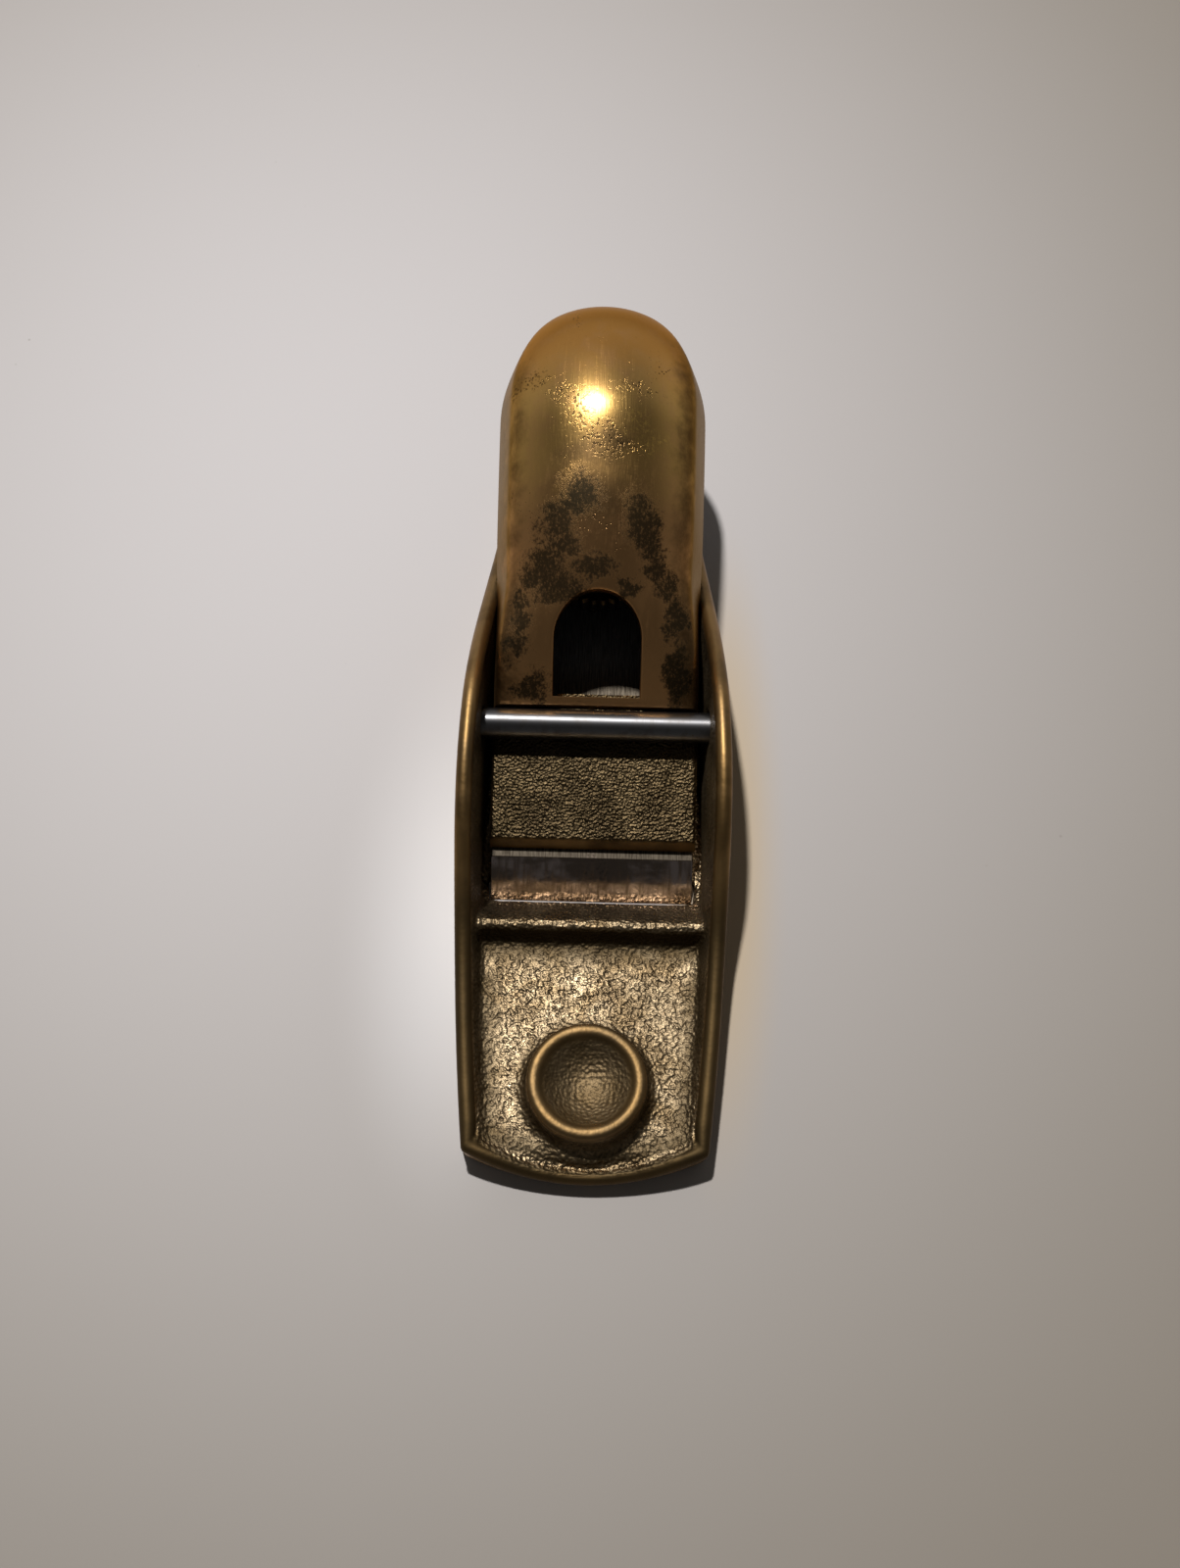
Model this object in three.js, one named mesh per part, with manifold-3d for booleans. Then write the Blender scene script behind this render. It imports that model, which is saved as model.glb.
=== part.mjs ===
// A low-angle block plane: a bronze body with low winged sides and a finger dish on its toe,
// a bevel-up blade, a hooded bronze lever cap held under a steel cross pin, and a screw adjuster.
// Millimetres. +X to the plane's right hand side, +Y from toe to heel, +Z up, sole at Z = 0.
import * as THREE from "three";
import { mergeVertices } from "three/addons/utils/BufferGeometryUtils.js";
import Module from "manifold-3d";

const wasm = await Module();
wasm.setup();

// Overall sizes
const overallLength = 138.3; // front of the nose to the back of the hood
const bodyWidth = 42.1;
const widestFromNose = 53.8;
const toeCornerSetback = 4.2;
const foreSideRadius = 485;
const aftSideRadius = 333;
const toeCornerRound = 1.1;

// Body casting
const toeFloor = 4.5;
const noseFloor = 3.1; // the floor dips towards the nose
const floorDipFromNose = 5.2;
const wallTop = 2.6; // side wall thickness just under the bead
const wallFoot = 3.7; // and where it meets the floor
const beadRadius = 1.22;
const noseLip = 2.5; // thickness of the lip across the nose, at its foot
const noseRim = 3.4;
const noseUndercut = 0.9; // how far the sole stands behind the nose
const peakRim = 24.3;
const heelRim = 5.6;
const ribFromNose = 39.3;
const ribTop = 8.5;
const ribThickness = 1.3;
const ribFootSetback = 0.9;
const mouthFromNose = 46.3; // nose to the cutting edge
const mouthGap = 0.95;
const mouthWidth = 32.6;
const mouthFrontHeight = 2.1;
const bedNoseSetback = 3.2;
const bladeChannelWidth = 33.2;
const pocketFloor = 2.6;

// Finger dish on the toe
const dishFromNose = 14.2;
const dishOuterRadius = 8.75;
const dishRingRadius = 0.95;
const dishHeight = 9.8;
const dishDepth = 3.4;
const dishFillet = 1.9;

// Blade, lying on the bed with its bevel up
const bedAngle = THREE.MathUtils.degToRad(12);
const bladeWidth = 31.75;
const bladeThickness = 3.175;
const bladeTail = 9.2; // from the flange's front to the blade's tail
const tailRadius = 19; // round of the blade's tail, in plan
const bevelAngle = THREE.MathUtils.degToRad(26);
const edgeHeight = 0.15; // the cutting edge is drawn back by a hair
const slotDepth = 1.8;
const slotClearance = 0.3;

// Cross pin
const pinRadius = 2.38;
const pinFromNose = 70.2;
const pinClearance = 0.08; // of a close fit, all round
const pinInset = 0.25; // its ends stop short of the outer walls

// Lever cap: plate in front of the pin, hood behind it
const plateFromNose = 53.7;
const plateWidth = 32.3;
const plateFrontHeight = 2.4;
const plateFrontLean = 0.5;
const plateAngle = THREE.MathUtils.degToRad(16.5);
const shoulderHeight = 17;
const shoulderGap = 0.15;
const hoodFrontWidth = 32.5;
const hoodWidth = 33.2;
const hoodFrontCrown = 10.8;
const crestFromEdge = 70.5; // the hood's highest place along the bed
const crestCrown = 28;
const hoodNarrowsFromEdge = 76.5;
const hoodWall = 2.6;
const hoodFrontGap = 0.5; // hood's lower edge above the blade, in front of the lock wheel
const hoodRearGap = 5.6; // and from the lock wheel back
const hoodSlope = 0.9;
const hoodFrontSquareness = 9; // exponent of the section behind the pin, nearly a box
const hoodArchSquareness = 2.5; // and of the arch under the palm
const hoodLeastShare = 1e-3; // of its width, so that no section shrinks to a point
const windowWidth = 13.6;
const windowBar = 1.2; // metal left between the window and the shoulder
const windowLength = 15.8; // from the shoulder to the top of the arch

// Lock wheel and its screw
const wheelFromEdge = 57.5;
const wheelRadius = 11;
const wheelHeight = 4.4;
const wheelLift = 1; // wheel's underside above the blade
const wheelKnurls = 40;
const knurlDepth = 0.45;
const lockScrewRadius = 3;
const lockScrewLength = 12.6;
const lockBossRadius = 5.6;
const lockBossGap = 0.9;
const threadClearance = 0.15;
const bossHoleDepth = 8.2;

// Adjuster stud and nut
const studRadius = 2.4;
const studDepth = 6; // axis below the blade's underside
const studSeat = 7; // length screwed into the bed block
const studLength = 27;
const flangeFromEdge = 76.8;
const nutRoom = 10.3; // from the flange's front to the heel
const flangeFromBed = 9.8; // from the end of the bed to the flange's front
const flangeRadius = 7;
const flangeThickness = 1.6;
const nutRadius = 5.4;
const nutLength = 8.2;
const nutKnurls = 24;
const nutNeck = 0.9;

const seatGap = 0.2; // between faces that rest on each other
const overrun = 5; // how far a cutting shape runs past what it cuts
const sameSpot = 1e-4; // points closer than this are one point

// How finely round shapes are divided
const roundFacets = 32;
const wheelFacetsPerKnurl = 2;
const planDivisions = 10;
const rimSteps = 44;
const beadFacets = 10;
const bowlSteps = 8;
const filletSteps = 4;
const crownSteps = 6;
const hoodSections = 26;
const hoodArchSteps = 20;

// Places worked out from the sizes above
const noseY = -overallLength / 2;
const halfWidth = bodyWidth / 2;
const widestY = noseY + widestFromNose;
const edgeY = noseY + mouthFromNose;
const pinY = noseY + pinFromNose;
const dishY = noseY + dishFromNose;
const bodyLength = mouthFromNose + flangeFromEdge + nutRoom;
const heelY = noseY + bodyLength;
const bedLength = flangeFromEdge - flangeFromBed;
const bladeLength = flangeFromEdge + bladeTail;

// A point s along the bed from the cutting edge and t above the blade's underside, as [y, z]
function bedPoint(s, t) {
  const y = edgeY + s * Math.cos(bedAngle) - t * Math.sin(bedAngle);
  const z = edgeHeight + s * Math.sin(bedAngle) + t * Math.cos(bedAngle);
  return [y, z];
}

// How far along the bed a point of height t lies that has the given y
function bedReach(y, t) {
  return (y - edgeY + t * Math.sin(bedAngle)) / Math.cos(bedAngle);
}

// A closed geometry as a solid
function solid(geometry) {
  const bare = geometry.index ? geometry.toNonIndexed() : geometry.clone();
  bare.deleteAttribute("normal");
  bare.deleteAttribute("uv");
  const merged = mergeVertices(bare, sameSpot);
  return new wasm.Manifold(
    new wasm.Mesh({
      numProp: 3,
      vertProperties: merged.attributes.position.array,
      triVerts: new Uint32Array(merged.index.array),
    }),
  );
}

// A joined or cut solid as a geometry for a mesh
function geometryOf(body) {
  const mesh = body.getMesh();
  const geometry = new THREE.BufferGeometry();
  geometry.setAttribute("position", new THREE.BufferAttribute(mesh.vertProperties, 3));
  geometry.setIndex(new THREE.BufferAttribute(mesh.triVerts, 1));
  return geometry;
}

// A prism whose side outline, a list of [y, z], runs across the plane for the given width
function sidePrism(outline, width) {
  const shape = new THREE.Shape(outline.map(([y, z]) => new THREE.Vector2(y, z)));
  const geometry = new THREE.ExtrudeGeometry(shape, { depth: width, bevelEnabled: false });
  geometry.translate(0, 0, -width / 2);
  // The shape's own X and Y become the plane's Y and Z, and its depth the plane's X
  geometry.applyMatrix4(
    new THREE.Matrix4().makeBasis(
      new THREE.Vector3(0, 1, 0),
      new THREE.Vector3(0, 0, 1),
      new THREE.Vector3(1, 0, 0),
    ),
  );
  return geometry;
}

// A skin through closed rings of points, with a fan over each end, or closed on itself
function loft(rings, closed = false) {
  const count = rings[0].length;
  const points = rings.flat();
  const index = [];
  const spans = closed ? rings.length : rings.length - 1;
  for (let i = 0; i < spans; i++) {
    const here = i * count;
    const next = ((i + 1) % rings.length) * count;
    for (let j = 0; j < count; j++) {
      const k = (j + 1) % count;
      index.push(here + j, here + k, next + k);
      index.push(here + j, next + k, next + j);
    }
  }
  if (!closed) {
    const last = (rings.length - 1) * count;
    points.push(centreOf(rings[0]), centreOf(rings[rings.length - 1]));
    for (let j = 0; j < count; j++) {
      const k = (j + 1) % count;
      index.push(points.length - 2, k, j);
      index.push(points.length - 1, last + j, last + k);
    }
  }
  const geometry = new THREE.BufferGeometry().setFromPoints(points);
  geometry.setIndex(index);
  return geometry;
}

// The mean of a ring of points
function centreOf(ring) {
  const sum = ring.reduce((total, point) => total.add(point), new THREE.Vector3());
  return sum.divideScalar(ring.length);
}

// A cylinder whose axis is square to the bed, from height low to height high above the blade
function bedPost(s, low, high, radius, facets = roundFacets) {
  const geometry = new THREE.CylinderGeometry(radius, radius, high - low, facets);
  geometry.rotateX(Math.PI / 2);
  geometry.translate(0, s, (low + high) / 2);
  return toBed(geometry);
}

// A cylinder whose axis runs along the bed at the stud's depth, from s = start to s = end
function bedShaft(start, end, radius, facets = roundFacets) {
  const geometry = new THREE.CylinderGeometry(radius, radius, end - start, facets);
  geometry.translate(0, (start + end) / 2, -studDepth);
  return toBed(geometry);
}

// Moves a geometry drawn in bed directions (Y along the bed, Z off it) to its place
function toBed(geometry) {
  geometry.rotateX(bedAngle);
  geometry.translate(0, edgeY, edgeHeight);
  return geometry;
}

// Plan outline of the body, drawn in from its outer face by inset, and by lip at the nose:
// two long side arcs, a round heel tangent to both, and a shallow arc across the nose
function planShape(inset, lip) {
  const foreRadius = foreSideRadius - inset;
  const aftRadius = aftSideRadius - inset;
  const aftReach = heelY - widestY;
  const aftOffset = aftSideRadius - halfWidth;
  const heelRadius =
    (aftSideRadius ** 2 - aftOffset ** 2 - aftReach ** 2) / (2 * (aftSideRadius - aftReach));
  const heelAngle = Math.atan2(aftReach - heelRadius, aftOffset);
  const cornerY = noseY + toeCornerSetback + lip;
  const cornerX =
    Math.sqrt(foreRadius ** 2 - (widestY - cornerY) ** 2) - (foreSideRadius - halfWidth);
  const noseRadius = (cornerX ** 2 + toeCornerSetback ** 2) / (2 * toeCornerSetback);
  const foreAngle = Math.asin((widestY - cornerY - toeCornerRound) / foreRadius);
  const noseAngle = Math.asin((cornerX - toeCornerRound) / noseRadius);
  const shape = new THREE.Shape();
  shape.absarc(halfWidth - foreSideRadius, widestY, foreRadius, -foreAngle, 0, false);
  shape.absarc(-aftOffset, widestY, aftRadius, 0, heelAngle, false);
  shape.absarc(0, heelY - heelRadius, heelRadius - inset, heelAngle, Math.PI - heelAngle, false);
  shape.absarc(aftOffset, widestY, aftRadius, Math.PI - heelAngle, Math.PI, false);
  const foreCentreX = foreSideRadius - halfWidth;
  shape.absarc(foreCentreX, widestY, foreRadius, Math.PI, Math.PI + foreAngle, false);
  const noseCentreY = noseY + lip + noseRadius;
  const noseEndX = noseRadius * Math.sin(noseAngle);
  const noseEndY = noseCentreY - noseRadius * Math.cos(noseAngle);
  shape.quadraticCurveTo(-cornerX, cornerY, -noseEndX, noseEndY);
  const forward = -Math.PI / 2;
  shape.absarc(0, noseCentreY, noseRadius, forward - noseAngle, forward + noseAngle, false);
  const foreStart = shape.curves[0].getPoint(0);
  shape.quadraticCurveTo(cornerX, cornerY, foreStart.x, foreStart.y);
  return shape;
}

// Points along the plan outline
function planPoints(inset, lip = inset) {
  const points = planShape(inset, lip).getPoints(planDivisions);
  const first = points[0];
  const last = points[points.length - 1];
  if (first.distanceTo(last) < 2 * sameSpot) points.pop();
  return points;
}

// The plan outline drawn in by inset, and by lip at the nose, as points at the given height
function planRing(z, inset, lip = inset) {
  return planPoints(inset, lip).map((point) => new THREE.Vector3(point.x, point.y, z));
}

// The line of the rim, as shares of the body's length and of the rim's peak
const rimShares = [
  [0.033, 0.25],
  [0.13, 0.32],
  [0.22, 0.39],
  [0.28, 0.49],
  [0.335, 0.67],
  [0.39, 0.86],
  [0.45, 0.975],
  [0.5, 1],
  [0.55, 0.975],
  [0.605, 0.86],
  [0.665, 0.69],
  [0.72, 0.54],
  [0.775, 0.43],
  [0.87, 0.33],
];

// Height of the top of the rim at the given y, as a smooth curve through the shares
function rimHeight(y) {
  const stations = rimShares.map(([along, high]) => [noseY + along * bodyLength, high * peakRim]);
  stations.unshift([noseY, noseRim]);
  stations.push([heelY, heelRim]);
  const clamped = Math.min(Math.max(y, noseY), heelY);
  const i = Math.max(1, stations.findIndex(([station]) => station >= clamped));
  const [y0, z0] = stations[i - 1];
  const [y1, z1] = stations[i];
  const before = stations[Math.max(i - 2, 0)];
  const after = stations[Math.min(i + 1, stations.length - 1)];
  const slope0 = (z1 - before[1]) / (y1 - before[0]);
  const slope1 = (after[1] - z0) / (after[0] - y0);
  const span = y1 - y0;
  const u = (clamped - y0) / span;
  return hermite(u, z0, slope0 * span, z1, slope1 * span);
}

// A cubic between two values with a slope at each, at u from 0 to 1
function hermite(u, start, startSlope, end, endSlope) {
  const u2 = u * u;
  const u3 = u2 * u;
  return (
    (2 * u3 - 3 * u2 + 1) * start +
    (u3 - 2 * u2 + u) * startSlope +
    (3 * u2 - 2 * u3) * end +
    (u3 - u2) * endSlope
  );
}

// The round bead that runs along the top of the side walls and round the nose and heel
function rimBead() {
  const path = planPoints(beadRadius + (wallTop - 2 * beadRadius) / 2);
  const rings = path.map((point, i) => {
    const before = path[(i + path.length - 1) % path.length];
    const after = path[(i + 1) % path.length];
    const along = after.clone().sub(before).normalize();
    const outward = new THREE.Vector3(along.y, -along.x, 0);
    const centre = new THREE.Vector3(point.x, point.y, rimHeight(point.y) - beadRadius);
    return Array.from({ length: beadFacets }, (_, k) => {
      const angle = (2 * Math.PI * k) / beadFacets;
      return centre
        .clone()
        .addScaledVector(outward, beadRadius * Math.cos(angle))
        .add(new THREE.Vector3(0, 0, -beadRadius * Math.sin(angle)));
    });
  });
  return solid(loft(rings, true));
}

// The block that the casting is cut from: the plan outline under the line of the rim,
// undercut at the nose
function bodyBlank() {
  const foot = planRing(0, 0, noseUndercut);
  const upright = loft([foot, planRing(noseRim - beadRadius, 0), planRing(peakRim, 0)]);
  const line = [[noseY - overrun, 0]];
  line.push([heelY + overrun, 0]);
  line.push([heelY + overrun, heelRim - beadRadius]);
  for (let i = rimSteps; i >= 0; i--) {
    const y = noseY + (bodyLength * i) / rimSteps;
    line.push([y, rimHeight(y) - beadRadius]);
  }
  line.push([noseY - overrun, noseRim - beadRadius]);
  return solid(upright).intersect(solid(sidePrism(line, bodyWidth + 2 * overrun)));
}

// Everything above the casting's floor line, between walls that thicken towards their foot
function bodyHollow() {
  const under = planRing(0, wallFoot, noseLip);
  const foot = planRing(toeFloor, wallFoot, noseLip);
  const top = planRing(peakRim, wallTop);
  const past = planRing(peakRim + overrun, wallTop);
  const between = solid(loft([under, foot, top, past]));
  const [bedNoseY] = bedPoint(bedNoseSetback, -seatGap);
  const [bedEndY, bedEndZ] = bedPoint(bedLength, -seatGap);
  const bedEndDrop = bedEndZ - pocketFloor;
  const ribY = noseY + ribFromNose;
  const mouthY = edgeY - mouthGap;
  const above = [
    [noseY - overrun, noseFloor],
    [noseY + noseLip, noseFloor],
    [noseY + floorDipFromNose, toeFloor],
    [ribY - ribThickness / 2 - ribFootSetback, toeFloor],
    [ribY - ribThickness / 2, ribTop],
    [ribY + ribThickness / 2, ribTop],
    [mouthY, mouthFrontHeight],
    [bedNoseY, mouthFrontHeight],
    bedPoint((mouthFrontHeight - edgeHeight) / Math.sin(bedAngle), -seatGap),
    [bedEndY, bedEndZ],
    [bedEndY + bedEndDrop * Math.tan(bedAngle), pocketFloor],
    [heelY + overrun, pocketFloor],
    [heelY + overrun, peakRim + overrun],
    [noseY - overrun, peakRim + overrun],
  ];
  return between.intersect(solid(sidePrism(above, bodyWidth)));
}

// The straight channel that the blade and the lever cap lie in
function bladeChannel() {
  const start = mouthFrontHeight / Math.tan(bedAngle);
  const outline = [
    bedPoint(start, -seatGap),
    bedPoint(bladeLength + 2 * overrun, -seatGap),
    bedPoint(bladeLength + 2 * overrun, peakRim),
    bedPoint(start, peakRim),
  ];
  return solid(sidePrism(outline, bladeChannelWidth));
}

// The mouth: a slot through the sole, with the bed coming down to it
function mouthSlot() {
  const [bedNoseY, bedNoseZ] = bedPoint(bedNoseSetback, -seatGap);
  const reach = (2 * mouthFrontHeight) / Math.sin(bedAngle);
  const [reachY, reachZ] = bedPoint(reach, -seatGap);
  const outline = [
    [edgeY - mouthGap, -overrun],
    [bedNoseY, -overrun],
    [bedNoseY, bedNoseZ],
    [reachY, reachZ],
    [edgeY - mouthGap, reachZ],
  ];
  return solid(sidePrism(outline, mouthWidth));
}

// The raised ring with its hollow for the forefinger, as a turned boss with a flared foot
function fingerDish() {
  const bowl = dishOuterRadius - dishRingRadius;
  const points = [new THREE.Vector2(0, noseFloor - seatGap)];
  points.push(new THREE.Vector2(dishOuterRadius + dishFillet, noseFloor - seatGap));
  for (let i = 0; i <= filletSteps; i++) {
    const angle = (Math.PI / 2) * (i / filletSteps);
    const x = dishOuterRadius + dishFillet * (1 - Math.sin(angle));
    const z = toeFloor + dishFillet * (1 - Math.cos(angle));
    points.push(new THREE.Vector2(x, z));
  }
  for (let i = 0; i <= crownSteps; i++) {
    const angle = Math.PI * (i / crownSteps);
    const x = bowl + dishRingRadius * Math.cos(angle);
    const z = dishHeight - dishRingRadius + dishRingRadius * Math.sin(angle);
    points.push(new THREE.Vector2(x, z));
  }
  const inner = bowl - dishRingRadius;
  const drop = dishDepth - dishRingRadius;
  for (let i = 1; i <= bowlSteps; i++) {
    const share = 1 - i / bowlSteps;
    const z = dishHeight - dishRingRadius - drop * (1 - share * share);
    points.push(new THREE.Vector2(inner * share, z));
  }
  const geometry = new THREE.LatheGeometry(points, roundFacets);
  geometry.rotateX(Math.PI / 2);
  geometry.translate(0, dishY, 0);
  return solid(geometry);
}

// The body casting, with its finger dish, blade channel, mouth and bores
function makeBody() {
  const [, boreZ] = pinPlace();
  const pinBore = new THREE.CylinderGeometry(
    pinRadius + pinClearance,
    pinRadius + pinClearance,
    bodyWidth + 2 * overrun,
    roundFacets,
  );
  pinBore.rotateZ(Math.PI / 2);
  pinBore.translate(0, pinY, boreZ);
  const studBore = bedShaft(
    bedLength - studSeat - seatGap,
    bedLength + overrun,
    studRadius + threadClearance,
  );
  const cuts = [bladeChannel(), mouthSlot(), solid(pinBore), solid(studBore)];
  let body = bodyBlank().subtract(bodyHollow()).add(rimBead()).add(fingerDish());
  for (const cut of cuts) body = body.subtract(cut);
  return body;
}

// The cross pin bears on the lever cap's plate, as [y, z] of its axis
function pinPlace() {
  const [plateY, plateZ] = plateCorner();
  const rise = (pinY - plateY) * Math.tan(plateAngle);
  return [pinY, plateZ + rise + (pinRadius + seatGap) / Math.cos(plateAngle)];
}

// The front upper corner of the plate, as [y, z]
function plateCorner() {
  const [footY, footZ] = plateFoot();
  return [footY + plateFrontLean, footZ + plateFrontHeight];
}

// The front lower corner of the plate, resting on the blade
function plateFoot() {
  const t = bladeThickness + seatGap;
  return bedPoint(bedReach(noseY + plateFromNose - plateFrontLean, t), t);
}

// The steel pin across the body that holds the lever cap down
function makePin() {
  const [, z] = pinPlace();
  const length = 2 * (halfWidth - pinInset) - 2 * sideDrop(pinY);
  const geometry = new THREE.CylinderGeometry(pinRadius, pinRadius, length, roundFacets);
  geometry.rotateZ(Math.PI / 2);
  geometry.translate(0, pinY, z);
  return solid(geometry);
}

// How far the body's side has drawn in from its widest at the given y
function sideDrop(y) {
  const radius = y > widestY ? aftSideRadius : foreSideRadius;
  return radius - Math.sqrt(radius ** 2 - (y - widestY) ** 2);
}

// The blade: a flat bar with a bevel in front, a round tail and a cross slot for the adjuster
function makeBlade() {
  const bevelLength = bladeThickness / Math.tan(bevelAngle);
  const outline = [
    bedPoint(0, 0),
    bedPoint(bladeLength, 0),
    bedPoint(bladeLength, bladeThickness),
    bedPoint(bevelLength, bladeThickness),
  ];
  const slotStart = flangeFromEdge - slotClearance;
  const slotEnd = flangeFromEdge + flangeThickness + slotClearance;
  const slotHalf = Math.sqrt(flangeRadius ** 2 - studDepth ** 2) + 2 * slotClearance;
  const slot = [
    bedPoint(slotStart, -overrun),
    bedPoint(slotEnd, -overrun),
    bedPoint(slotEnd, slotDepth),
    bedPoint(slotStart, slotDepth),
  ];
  return solid(sidePrism(outline, bladeWidth))
    .intersect(bladePlan())
    .subtract(solid(sidePrism(slot, 2 * slotHalf)));
}

// A block as wide as the round of the blade's tail, which cuts the tail to that round
function bladePlan() {
  const shape = new THREE.Shape();
  shape.moveTo(-tailRadius, -overrun);
  shape.lineTo(tailRadius, -overrun);
  shape.absarc(0, bladeLength - tailRadius, tailRadius, 0, Math.PI, false);
  const geometry = new THREE.ExtrudeGeometry(shape, {
    depth: 2 * overrun,
    bevelEnabled: false,
    curveSegments: roundFacets,
  });
  geometry.translate(0, 0, -overrun);
  return solid(toBed(geometry));
}

// Height above the blade's underside at which the hood's crown comes down to its lower edge
const hoodEndCrown = bladeThickness + hoodRearGap;

// Where the hood ends along the bed
function hoodEnd() {
  return bedReach(overallLength / 2, hoodEndCrown);
}

// Where the hood starts along the bed, just behind the cross pin
function hoodStart() {
  const y = pinY + pinRadius + shoulderGap;
  const z = shoulderHeight - edgeHeight;
  return (y - edgeY) * Math.cos(bedAngle) + z * Math.sin(bedAngle);
}

// Crown of the hood above the blade's underside, at s along the bed, drawn in by inset
function hoodCrown(s, inset) {
  const start = hoodStart();
  if (s <= crestFromEdge) {
    const span = crestFromEdge - start;
    const u = Math.max(0, (s - start) / span);
    return hermite(u, hoodFrontCrown, hoodSlope * span, crestCrown, 0) - inset;
  }
  const share = Math.min(1, (s - crestFromEdge) / (hoodEnd() - inset - crestFromEdge));
  return hoodEndCrown + (crestCrown - inset - hoodEndCrown) * Math.sqrt(1 - share * share);
}

// Half the hood's width at s along the bed, drawn in by inset
function hoodHalf(s, inset) {
  const swell = THREE.MathUtils.smoothstep(s, hoodStart(), hoodNarrowsFromEdge);
  const half = THREE.MathUtils.lerp(hoodFrontWidth, hoodWidth, swell) / 2 - inset;
  if (s <= hoodNarrowsFromEdge) return half;
  const share = (s - hoodNarrowsFromEdge) / (hoodEnd() - inset - hoodNarrowsFromEdge);
  return half * Math.sqrt(Math.max(0, 1 - share * share));
}

// Lower edge of the hood above the blade's underside: close to the blade in front,
// lifted from the lock wheel back so that fingers reach the wheel
function hoodSkirt(s) {
  const rise = THREE.MathUtils.smoothstep(s, wheelFromEdge - wheelRadius, wheelFromEdge);
  return bladeThickness + hoodFrontGap + (hoodRearGap - hoodFrontGap) * rise;
}

// How square the hood's section is: nearly a box behind the pin, an arch under the palm
function hoodSquareness(s) {
  const rise = THREE.MathUtils.smoothstep(s, hoodStart(), crestFromEdge);
  return THREE.MathUtils.lerp(hoodFrontSquareness, hoodArchSquareness, rise);
}

// One section of the hood, drawn in by inset: an arch over its lower edge, which runs
// straight down to the given floor where one is given
function hoodRing(s, inset, floor) {
  const half = Math.max(hoodHalf(s, inset), hoodWidth * hoodLeastShare);
  const low = hoodSkirt(s);
  const high = Math.max(hoodCrown(s, inset) - low, hoodWidth * hoodLeastShare);
  const power = 2 / hoodSquareness(s);
  const ring = [];
  for (let i = 0; i <= hoodArchSteps; i++) {
    const angle = (Math.PI * i) / hoodArchSteps;
    const x = -Math.sign(Math.cos(angle)) * half * Math.abs(Math.cos(angle)) ** power;
    const t = low + high * Math.sin(angle) ** power;
    ring.push(bedVector(x, s, t));
  }
  if (floor === undefined) return ring;
  ring.push(bedVector(half, s, floor));
  ring.push(bedVector(-half, s, floor));
  return ring;
}

// A point x across the plane, s along the bed and t above the blade's underside
function bedVector(x, s, t) {
  const [y, z] = bedPoint(s, t);
  return new THREE.Vector3(x, y, z);
}

// The hood's skin drawn in by inset, between two places along the bed
function hoodSkin(inset, start, end, floor) {
  const rings = [];
  for (let i = 0; i <= hoodSections; i++) {
    const s = start + (end - start) * Math.sin((Math.PI / 2) * (i / hoodSections));
    rings.push(hoodRing(s, inset, floor));
  }
  return solid(loft(rings));
}

// The hood as a hollow shell, open underneath
function hoodShell() {
  const outer = hoodSkin(0, hoodStart(), hoodEnd());
  const wallStart = hoodStart() + hoodWall;
  const wallEnd = hoodEnd() - hoodWall;
  const inner = hoodSkin(hoodWall, wallStart, wallEnd, -overrun);
  return outer.subtract(inner);
}

// The plate that lies on the blade in front of the pin and runs back into the hood
function capPlate() {
  const [cornerY, cornerZ] = plateCorner();
  const shoulderY = pinY + pinRadius + shoulderGap;
  const underPin = (shoulderY - cornerY) * Math.tan(plateAngle);
  const back = hoodStart() + hoodWall + windowBar / 2;
  const relief = bladeThickness + hoodFrontGap;
  const outline = [
    plateFoot(),
    bedPoint(bedReach(cornerY, relief) + hoodWall, relief),
    bedPoint(back, relief),
    bedPoint(back, hoodFrontCrown - hoodWall),
    [shoulderY, shoulderHeight - hoodWall],
    [shoulderY, cornerZ + underPin],
    [cornerY, cornerZ],
  ];
  return solid(sidePrism(outline, plateWidth));
}

// The arched window in the hood's front, straight from the shoulder to the round of the arch
function windowCut() {
  const radius = windowWidth / 2;
  const start = hoodStart() + windowBar;
  const spring = hoodStart() + windowLength - radius;
  const shape = new THREE.Shape();
  shape.moveTo(-radius, start);
  shape.lineTo(radius, start);
  shape.lineTo(radius, spring);
  shape.absarc(0, spring, radius, 0, Math.PI, false);
  const geometry = new THREE.ExtrudeGeometry(shape, {
    depth: crestCrown,
    bevelEnabled: false,
    curveSegments: roundFacets / 2,
  });
  geometry.translate(0, 0, bladeThickness + hoodFrontGap + overrun / 2);
  return solid(toBed(geometry));
}

// The lever cap: hood, plate, and the boss inside that the lock screw turns in
function makeCap() {
  const bossLow = bladeThickness + wheelLift + wheelHeight + lockBossGap;
  const boss = solid(bedPost(wheelFromEdge, bossLow, crestCrown, lockBossRadius));
  const inside = hoodSkin(hoodWall / 2, hoodStart(), hoodEnd() - hoodWall / 2, -overrun);
  const hole = bedPost(
    wheelFromEdge,
    bossLow - overrun,
    bossLow + bossHoleDepth,
    lockScrewRadius + threadClearance,
  );
  return hoodShell()
    .add(capPlate())
    .subtract(windowCut())
    .add(boss.intersect(inside))
    .subtract(solid(hole));
}

// A round outline with evenly spaced knurls
function knurledShape(radius, count, depth) {
  const shape = new THREE.Shape();
  const points = count * wheelFacetsPerKnurl;
  for (let i = 0; i < points; i++) {
    const angle = (2 * Math.PI * i) / points;
    const reach = i % wheelFacetsPerKnurl === 0 ? radius : radius - depth;
    const x = reach * Math.cos(angle);
    const y = reach * Math.sin(angle);
    if (i === 0) shape.moveTo(x, y);
    else shape.lineTo(x, y);
  }
  shape.closePath();
  return shape;
}

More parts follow.
